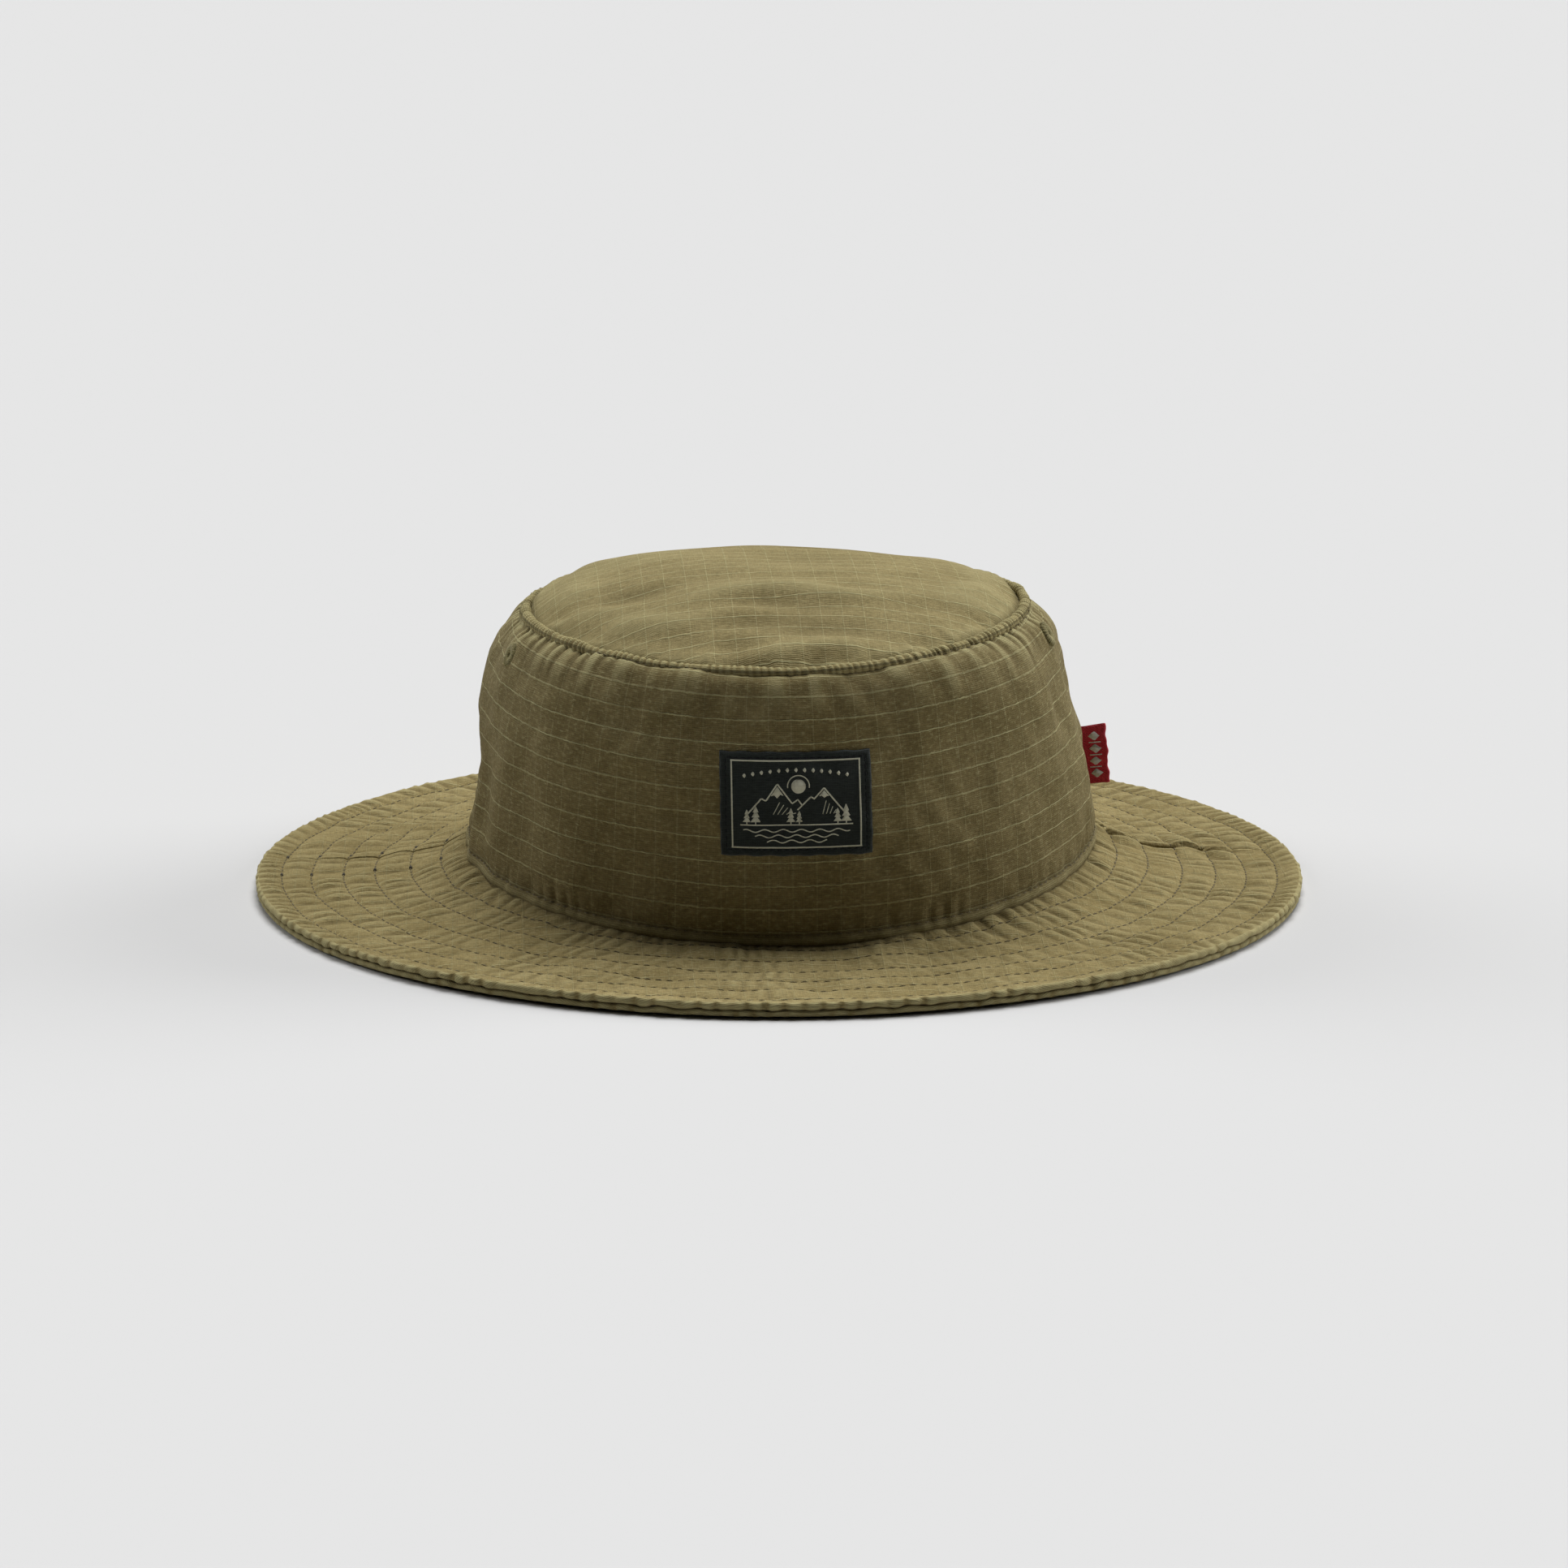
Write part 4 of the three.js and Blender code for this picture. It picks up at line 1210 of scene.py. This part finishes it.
def patch_picture():
    """A plain landscape inside a frame, raised as thread: a sun, two peaks, pines, water and a row of
    small diamonds. Also the stitches round the patch."""
    heap = Heap()
    low, high = PATCH_THICK - 0.25, PATCH_THICK + 0.25

    def line(path, width=0.42):
        ribbon(heap, patch_place, path, width, low, high)

    def shape(outline):
        filled(heap, patch_place, outline, low, high)

    for (x0, y0), (x1, y1) in sides_of(17.6, 11.9):
        corner = 0.25 * np.sign(x1 - x0)  # the level sides reach over the upright ones
        line([(x0 - corner, y0), (x1 + corner, y1)], 0.5)
    shape(circle(0.6, 4.9, 2.0)[:-1])
    line(circle(0.6, 4.9, 3.0, 40, -0.15, math.pi + 0.15), 0.35)
    line([(-14.2, -3.6), (-9.6, 1.6), (-8.4, 0.9), (-5.2, 5.6), (-1.2, 0.2), (0.4, 1.3), (1.6, -0.4)], 0.5)
    line([(0.2, -1.6), (4.0, 2.0), (4.9, 1.4), (7.6, 4.4), (14.2, -3.6)], 0.5)
    shape([(-5.2, 4.9), (-7.1, 2.2), (-6.1, 2.6), (-5.3, 1.6), (-4.4, 2.7), (-3.5, 2.3)])
    shape([(7.6, 3.8), (6.1, 2.0), (7.0, 2.3), (7.7, 1.5), (8.4, 2.2), (9.1, 2.0)])
    for k in range(5):
        line([(-4.6 + k * 1.1, 0.6 - k * 0.75), (-6.4 + k * 1.2, -2.8)], 0.26)
        line([(8.2 + k * 0.9, 0.9 - k * 0.85), (7.2 + k * 1.0, -2.8)], 0.26)
    for x, size in ((-13.6, 0.9), (-11.2, 1.15), (-1.6, 1.0), (0.7, 0.8), (11.3, 0.95), (13.6, 1.2)):
        for layer in range(3):
            half = (1.25 - 0.28 * layer) * size
            foot = -4.9 + layer * 1.15 * size
            shape([(x - half, foot), (x + half, foot), (x, foot + 1.75 * size)])
        line([(x, -5.7), (x, -4.8)], 0.4)
    line([(-15.4, -5.7), (15.4, -5.7)], 0.45)
    for k, level in enumerate((-7.3, -8.8, -10.2)):
        reach = 14.6 - 3.2 * k
        at = np.linspace(-reach, reach, 90)
        line(np.stack([at, level + 0.38 * np.sin(at * 1.25 + k * 1.7)], -1), 0.38)
    for k in range(-6, 7):
        x, y = k * 2.35, 9.4 - 0.044 * k * k
        shape([(x - 0.55, y), (x, y - 0.75), (x + 0.55, y), (x, y + 0.75)])
    piece = heap.make("front_patch_picture", cream_thread)
    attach(piece, "hat")
    runs = []
    for path in sides_of(PATCH_HALF[0] - PATCH_SEAM, PATCH_HALF[1] - PATCH_SEAM):
        u, v = evenly(path, 0.3).T
        points = patch_place(u, v, patch_top(u, v))
        runs.append((points, wall_normal(*patch_turn(u, v))))
    sewn = stitches("front_patch_stitches", runs, black_thread, pitch=1.9, wide=0.2, tall=0.16, sink=0.1)
    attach(sewn, "hat")


TAB_LEAN = math.radians(5)
TAB_ROOT = pivot("tab_bend")
TAB_REACH = TAB_HIGH[0] - TAB_ROOT[0] + 0.2
TAB_TALL = 17.4


def tab_place(u, v, out):
    """u outward from the seam, v up, out towards the front."""
    u, v, out = np.broadcast_arrays(u, v, out)
    reach = u / TAB_REACH
    u = u * (1 + 0.022 * np.sin(v * 0.8 + 0.6) + 0.014 * np.sin(v * 1.9))
    v = v + 0.25 * reach * np.sin(u * 0.9 + 1) * np.sign(v) * (np.abs(v) > TAB_TALL / 2 - 1)
    sway = reach * (0.55 * np.sin(v * 0.42 + 0.8) + 0.22 * np.sin(v * 1.1 + 2.0))
    x = TAB_ROOT[0] + u * math.cos(TAB_LEAN) - v * math.sin(TAB_LEAN)
    z = TAB_ROOT[2] + u * math.sin(TAB_LEAN) + v * math.cos(TAB_LEAN)
    return np.stack([x, TAB_ROOT[1] - out - sway, z], -1)


def tab_gap(u):
    """Half the distance between the folded tape's outer faces."""
    return 0.42 + 0.24 * step(u, 1.0, TAB_REACH - 0.4)


def side_tab():
    """A folded tape in the side seam, with plain woven marks on both faces."""
    heap = Heap()
    cloth = 0.34
    u = np.linspace(-0.9, TAB_REACH - 0.6, 16)
    bend = np.linspace(math.pi / 2, -math.pi / 2, 9)[1:-1]
    outer = [(a, tab_gap(a)) for a in u]
    outer += [(u[-1] + 0.6 * math.cos(b), tab_gap(u[-1]) * math.sin(b)) for b in bend]
    outer += [(a, -tab_gap(a)) for a in u[::-1]]
    end = u[-1] + 0.6 - cloth
    inner = [(min(a, end), b * max(0.04, (abs(b) - cloth) / max(abs(b), 1e-6))) for a, b in outer]
    section = np.array(outer + inner[::-1])
    v = np.linspace(-TAB_TALL / 2, TAB_TALL / 2, 56)
    loop = tab_place(section[:, :1], v[None], section[:, 1:])
    heap.tube(loop, even_rows(loop, v, 0.4))
    cloth_piece = heap.make("side_tab_tape", tab_weave)
    marks = Heap()
    middle, half, apart = TAB_REACH * 0.56, 1.8, 3.8
    low, high = -0.08, 0.07
    for sign in (1, -1):

        def face(a, b, out):
            return tab_place(a, b, sign * (tab_gap(np.asarray(a)) + out))

        for k in range(4):
            y = (k - 1.5) * apart
            diamond = [(middle - half, y), (middle, y - 1.45), (middle + half, y), (middle, y + 1.45)]
            filled(marks, face, diamond, low, high)
        for k in (-1, 0, 1):
            y = k * apart
            ribbon(marks, face, [(middle - half, y), (middle + half, y)], 0.4, low, high)
    mark_piece = marks.make("side_tab_marks", tab_white)
    end = tuple((TAB_ROOT + (1.8, 0, 0)) * MM)
    for piece in (cloth_piece, mark_piece):
        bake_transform(piece)
    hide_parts("side_tab")


# ---------------------------------------------------------------- eyelets
def on_wall(x, y, z):
    """The turn and row of the wall nearest to a place."""
    t = math.atan2(x, -y)
    for _ in range(8):
        w = float(wall_row(np.array(t), z))
        p = wall_base(np.array(t), np.array(w))
        t += math.atan2(x, -y) - math.atan2(p[0], -p[1])
    return t, w


def eyelet_frame(node):
    """The eyelet's middle on the wall, with its directions: round the hat, up the wall and outward."""
    low, high = span(node)
    t, w = on_wall(*((low + high) / 2))
    n = wall_normal(np.array(t), np.array(w))
    side = np.array((math.cos(t), math.sin(t), 0.0))
    side -= n * (side @ n)
    side /= np.linalg.norm(side)
    return wall(np.array(t), np.array(w)), side, np.cross(n, side), n


EYELET_HOLE = 0.95  # radius
EYELET_RIM = 3.7  # radius
EYELET_DEPTH = 0.5  # from the cloth's face to the ring's middle


def punch(panel, middle, normal):
    """Cuts the eyelet's hole through a panel's cloth."""
    bpy.ops.mesh.primitive_cylinder_add(vertices=20, radius=EYELET_HOLE * 1.5 * MM, depth=0.008)
    cutter = bpy.context.active_object
    cutter.location = Vector(middle * MM)
    cutter.rotation_euler = Vector(normal).to_track_quat("Z", "Y").to_euler()
    modifier = panel.modifiers.new("hole", "BOOLEAN")
    modifier.operation = "DIFFERENCE"
    modifier.solver = "EXACT"
    modifier.object = cutter
    bpy.context.view_layer.update()
    cut = bpy.data.meshes.new_from_object(panel.evaluated_get(bpy.context.evaluated_depsgraph_get()))
    panel.modifiers.clear()
    panel.data = cut
    bpy.data.objects.remove(cutter, do_unlink=True)


def eyelet(node):
    """Satin stitches wrapped over a ring, on both faces of the cloth, round a real hole."""
    middle, side, up, normal = eyelet_frame(node)
    rng = np.random.default_rng(sum(map(ord, node)))
    heap = Heap()
    turn, around = np.meshgrid(np.arange(64) / 64 * TAU, np.arange(12) / 12 * TAU)
    ring_r, half = (EYELET_HOLE + EYELET_RIM) / 2, (EYELET_RIM - EYELET_HOLE) / 2
    radius = ring_r + half * 0.86 * np.cos(around)
    height = 0.70 * np.sin(around) - EYELET_DEPTH
    points = (
        middle
        + side * (radius * np.cos(turn))[..., None]
        + up * (radius * np.sin(turn))[..., None]
        + normal * height[..., None]
    )
    heap.add(points, grid_faces(12, 64, True, True))
    core = heap.make(f"{node}_core", eyelet_dark)
    threads = Heap()
    count, steps, sides = 58, 20, 5
    wrap = np.linspace(0, TAU, steps, endpoint=False)
    loop = np.arange(sides) / sides * TAU
    for k in range(count):
        angle = (k + rng.uniform(-0.25, 0.25)) / count * TAU
        skew = 0.03 * np.sin(wrap) + rng.normal() * 0.01
        grow = 1 + rng.normal() * 0.03
        r = ring_r + half * grow * np.cos(wrap)
        h = 0.82 * grow * np.sin(wrap) - EYELET_DEPTH
        out = side[None] * np.cos(angle + skew)[:, None] + up[None] * np.sin(angle + skew)[:, None]
        path = middle + out * r[:, None] + normal * h[:, None]
        away = out * np.cos(wrap)[:, None] + normal * np.sin(wrap)[:, None]
        across = np.cross(normal, out)
        wide = 0.20 * (0.6 + 0.4 * r / EYELET_RIM)
        tube = (
            path[:, None]
            + across[:, None] * (wide[:, None] * np.cos(loop))[..., None]
            + away[:, None] * (0.16 * np.sin(loop))[None, :, None]
        )
        threads.add(tube, grid_faces(steps, sides, True, True))
    sewn = threads.make(f"{node}_stitches", eyelet_thread)
    for piece in (core, sewn):
        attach(piece, "hat")
    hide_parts(node)
    panel = "crown_side_front_cloth" if middle[1] < SEAM_Y else "crown_side_back_cloth"
    punch(bpy.data.objects[panel], middle, normal)


# ---------------------------------------------------------------- inside the crown
BAND_TOP = float(wall_row(np.array(seam_turn(BASE_B)), BASE_WAVE[0] + 32.0))
BAND_OUT, BAND_IN = 1.7, 2.75
TAPE_SEAM = {"pitch": 2.8, "wide": 0.22, "tall": 0.16, "sink": 0.06}


def inside_wall(t, w, depth):
    """A place at a depth inside the wall."""
    base = wall_base(t, w)
    return base + (HUG * wall_relief(t, w, base) - depth)[..., None] * wall_normal(t, w)


def band_ring(name, w_rows, outer, inner, material, ripple):
    """A closed ring lying inside the wall, with rounded long edges. Also its inner face."""
    t, w = np.meshgrid(np.linspace(0, TAU, 420, endpoint=False), w_rows)
    base = wall_base(t, w)
    relief = HUG * wall_relief(t, w, base)
    normal = wall_normal(t, w)
    wave_in = ripple * cloud(201, base, 16) + 0.5 * ripple * cloud(202, base, 6)
    edge = np.clip(np.minimum(np.arange(len(w_rows)), np.arange(len(w_rows))[::-1]) / 2, 0, 1)
    bulge = np.sqrt(1 - (1 - edge) ** 2)[:, None]
    middle = (outer + inner) / 2
    out_face = base + (relief - middle + (middle - outer) * bulge)[..., None] * normal
    in_face = base + (relief - middle - (inner - middle + wave_in) * bulge)[..., None] * normal
    around = np.broadcast_to(arc_lengths(base[0]), t.shape)
    up = np.broadcast_to(arc_lengths(base[:, 0])[:, None], t.shape)
    uv = np.stack([around, up], -1)
    loop = np.concatenate([out_face, in_face[::-1]])
    return shell(name, loop, material, both(uv), closed_round=True), in_face, normal


def ring_runs(face, normal, rows):
    """Whole turns along some rows of a ring."""
    return [(np.append(face[k], face[k][:1], 0), -np.append(normal[k], normal[k][:1], 0)) for k in rows]


def seam_strip(name, t_middle):
    """A flat tape up the inside of the wall, over a side seam, with its two rows of stitches."""
    width, outer, inner = 12.0, 1.05, 1.5
    w_low, w_high = 0.2, 0.84

    def place(u, v, out):
        reach = -wall_base(np.zeros(np.shape(v)), v)[..., 1]
        return inside_wall(t_middle + u / reach, v, out)

    def face(u, v):
        return inner - 0.18 * bell(width / 2 - np.abs(u), 0.4)

    heap = Heap()
    slab(heap, place, np.linspace(-width / 2, width / 2, 26), np.linspace(w_low, w_high, 60), face, outer)
    piece = heap.make(name, tape_weave)
    runs = []
    for side in (-1, 1):
        across = np.full(300, side * (width / 2 - 1.6))
        up = np.linspace(w_low, w_high, 300)
        points = place(across, up, np.full(300, inner))
        runs.append((points, -wall_normal(t_middle + across / BASE_B, up)))
    return piece, stitches(f"{name}_stitches", runs, olive_thread, **TAPE_SEAM)


def inside():
    """The sweatband and the tapes over the seams, each with its stitches."""
    rows = np.linspace(0.03, BAND_TOP - 0.02, 26)
    rows = np.concatenate([[0.006, 0.012], rows, [BAND_TOP - 0.008, BAND_TOP]])
    band, face, normal = band_ring("sweatband_twill_ring", rows, BAND_OUT, BAND_IN, band_twill, 0.12)
    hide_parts("sweatband")
    runs = ring_runs(face, normal, (3, 26))
    sewn = stitches("sweatband_stitches", runs, olive_thread, pitch=3.0, wide=0.24, tall=0.18, sink=0.06)
    rows = np.linspace(0.78, 0.945, 14)
    tape, face, normal = band_ring("tip_seam_tape_ring", rows, 1.6, 2.15, tape_weave, 0.08)
    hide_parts("tip_seam_tape")
    runs = ring_runs(face, normal, (2, 11))
    tape_sewn = stitches("tip_seam_tape_stitches", runs, olive_thread, **TAPE_SEAM)
    for piece in (band, sewn, tape, tape_sewn):
        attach(piece, "hat")
    for side, sign in (("left", 1), ("right", -1)):
        strip, row = seam_strip(f"side_seam_tape_{side}_strip", sign * seam_turn(BASE_B))
        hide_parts(f"side_seam_tape_{side}")
        for piece in (strip, row):
            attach(piece, "hat")


SIZE_LOW, SIZE_HIGH = span("size_label")
CARE_LOW, CARE_HIGH = span("care_label")


def size_label_place(u, v, out):
    z = (SIZE_LOW[2] + SIZE_HIGH[2]) / 2 + v
    t = math.pi + u / BASE_B
    return inside_wall(t, wall_row(t, z), BAND_IN + out)


def size_label():
    """A small woven label on the sweatband at the back, with a plain framed peak and no words."""
    heap = Heap()
    half_u, half_v = 14.6, 7.6

    def top(u, v):
        return 0.18 + 0.5 * soft_edge(u, v, half_u, half_v, 0.5)

    u, v = np.linspace(-half_u, half_u, 60), np.linspace(-half_v, half_v, 34)
    slab(heap, size_label_place, u, v, top, 0.0)
    cloth = heap.make("size_label_cloth", patch_weave)
    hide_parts("size_label")
    marks = Heap()
    low, high = 0.5, 0.78
    for path in sides_of(12.6, 5.7):
        ribbon(marks, size_label_place, path, 0.4, low, high)
    filled(marks, size_label_place, [(-6.5, -3.4), (6.5, -3.4), (0, 3.6)], low, high)
    for k in (-1, 1):
        filled(marks, size_label_place, circle(k * 9.3, 0, 1.5)[:-1], low, high)
    picture = marks.make("size_label_picture", cream_thread)
    for piece in (cloth, picture):
        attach(piece, "hat")


def care_label():
    """A folded satin label hung by its top edge inside the back, with plain grey bars and no words."""
    heap = Heap()
    top, tall, half = CARE_HIGH[2], CARE_HIGH[2] - CARE_LOW[2] - 0.3, 9.8
    middle = (CARE_LOW[1] + CARE_HIGH[1]) / 2

    def place(u, v, out):
        u, v, out = np.broadcast_arrays(u, v, out)
        hang = (v / tall) ** 1.5
        curl = 0.35 * hang * np.sin(u * 0.22 + 0.5) + 0.10 * np.sin(v * 0.5)
        return np.stack([u, middle - out + curl, top - v], -1)

    thick, gap = 0.17, 0.34  # of the satin, and from the fold's middle to its outer face
    fold = tall - 0.35
    leaf = [(v, gap) for v in np.linspace(0.0, fold, 26)]
    leaf += [(fold + gap * math.cos(b), gap * math.sin(b)) for b in np.linspace(1.3, -1.3, 7)]
    leaf += [(v, -gap) for v in np.linspace(fold, 0.0, 26)]
    inner = [(min(v, fold), np.sign(o) * max(abs(o) - thick, 0.0)) for v, o in leaf]
    section = np.array(leaf + inner[::-1])
    u = np.linspace(-half, half, 40)
    loop = place(u[None], section[:, :1], section[:, 1:])
    heap.tube(loop, even_rows(loop, u, 0.8))
    cloth = heap.make("care_label_satin", satin)
    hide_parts("care_label")
    marks = Heap()
    for k, length in enumerate((15.2, 12.4, 15.8, 10.2, 14.4, 8.8)):
        down = 6 + 2.6 * k
        ribbon(marks, place, [(-8.0, down), (-8.0 + length, down)], 0.8, 0.28, 0.40)
    bars = marks.make("care_label_bars", label_grey)
    for piece in (cloth, bars):
        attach(piece, "care_label")
    # the header that joins the label to the wall, above the sweatband
    header = Heap()
    far = float(wall(np.array(math.pi), wall_row(np.array(math.pi), top), 1.3)[1])

    def bridge(u, v, out):
        u, v, out = np.broadcast_arrays(u, v, out)
        return np.stack([u, middle + (far - middle) * v, top + 0.6 + 2.2 * v * v + out], -1)

    slab(header, bridge, np.linspace(-half, half, 24), np.linspace(-0.06, 1.0, 14), 0.17, -0.17)
    piece = header.make("care_label_header", satin)
    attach(piece, "hat")


front_patch()
patch_picture()
side_tab()
for node in EYELETS:
    eyelet(node)
inside()
size_label()
care_label()


# ---------------------------------------------------------------- stage, light and camera
def look_at(thing, target):
    way = Vector(target) - thing.location
    thing.rotation_euler = way.to_track_quat("-Z", "Y").to_euler()


def sun(name, azimuth, elevation, strength, angle):
    """A soft light from a compass direction: 0 is the front, 90 is +X."""
    data = bpy.data.lights.new(name, "SUN")
    data.energy = strength
    data.angle = math.radians(angle)
    lamp = bpy.data.objects.new(name, data)
    a, e = math.radians(azimuth), math.radians(elevation)
    lamp.location = (math.sin(a) * math.cos(e), -math.cos(a) * math.cos(e), math.sin(e))
    bpy.context.scene.collection.objects.link(lamp)
    look_at(lamp, (0, 0, 0))


def floor():
    """A wide pale sheet just under the hat."""
    mesh = bpy.data.meshes.new("floor")
    half = 150.0
    z = CAD_BOX[0][2] - 0.0004
    corners = [(-half, -half, z), (half, -half, z), (half, half, z), (-half, half, z)]
    mesh.from_pydata(corners, [], [(0, 1, 2, 3)])
    n = Nodes("floor_paper")
    n.finish((0.58, 0.58, 0.58, 1), 1.0, 0.0, (1, 1, 1, 1), 0.0)
    mesh.materials.append(n.material)
    thing = bpy.data.objects.new("floor", mesh)
    bpy.context.scene.collection.objects.link(thing)


def camera():
    """The view of the photo: from the front, a little to the left of the hat's middle and above."""
    data = bpy.data.cameras.new("camera")
    data.sensor_width = 36.0
    data.lens = 124.9
    data.clip_end = 400.0
    thing = bpy.data.objects.new("camera", data)
    a, e, distance = math.radians(-3.0), math.radians(12.05), 1.6
    aim = Vector((0.0, 0.0, 0.0516))
    back = Vector((math.sin(a) * math.cos(e), -math.cos(a) * math.cos(e), math.sin(e)))
    thing.location = aim + distance * back
    bpy.context.scene.collection.objects.link(thing)
    way = (aim - thing.location).normalized()
    right = way.cross(Vector((0, 0, 1))).normalized()
    up = right.cross(way)
    # the view's middle lies below the hat's middle and a little to the right of it, in millimetres
    below, beside = 22.2312, 1.5044
    target = aim - up * (below * MM) + right * (beside * MM)
    look_at(thing, target)
    bpy.context.scene.camera = thing


floor()
camera()
sun("sun_top", azimuth=165, elevation=64, strength=3.35, angle=40)
sun("sun_right", azimuth=108, elevation=21, strength=1.95, angle=34)
sun("sun_left", azimuth=-120, elevation=25, strength=1.24, angle=34)
world = bpy.data.worlds.new("studio")
world.use_nodes = True
world.node_tree.nodes["Background"].inputs[0].default_value = (1, 1, 1, 1)
world.node_tree.nodes["Background"].inputs[1].default_value = 0.015
bpy.context.scene.world = world
bpy.context.scene.view_settings.view_transform = "Standard"
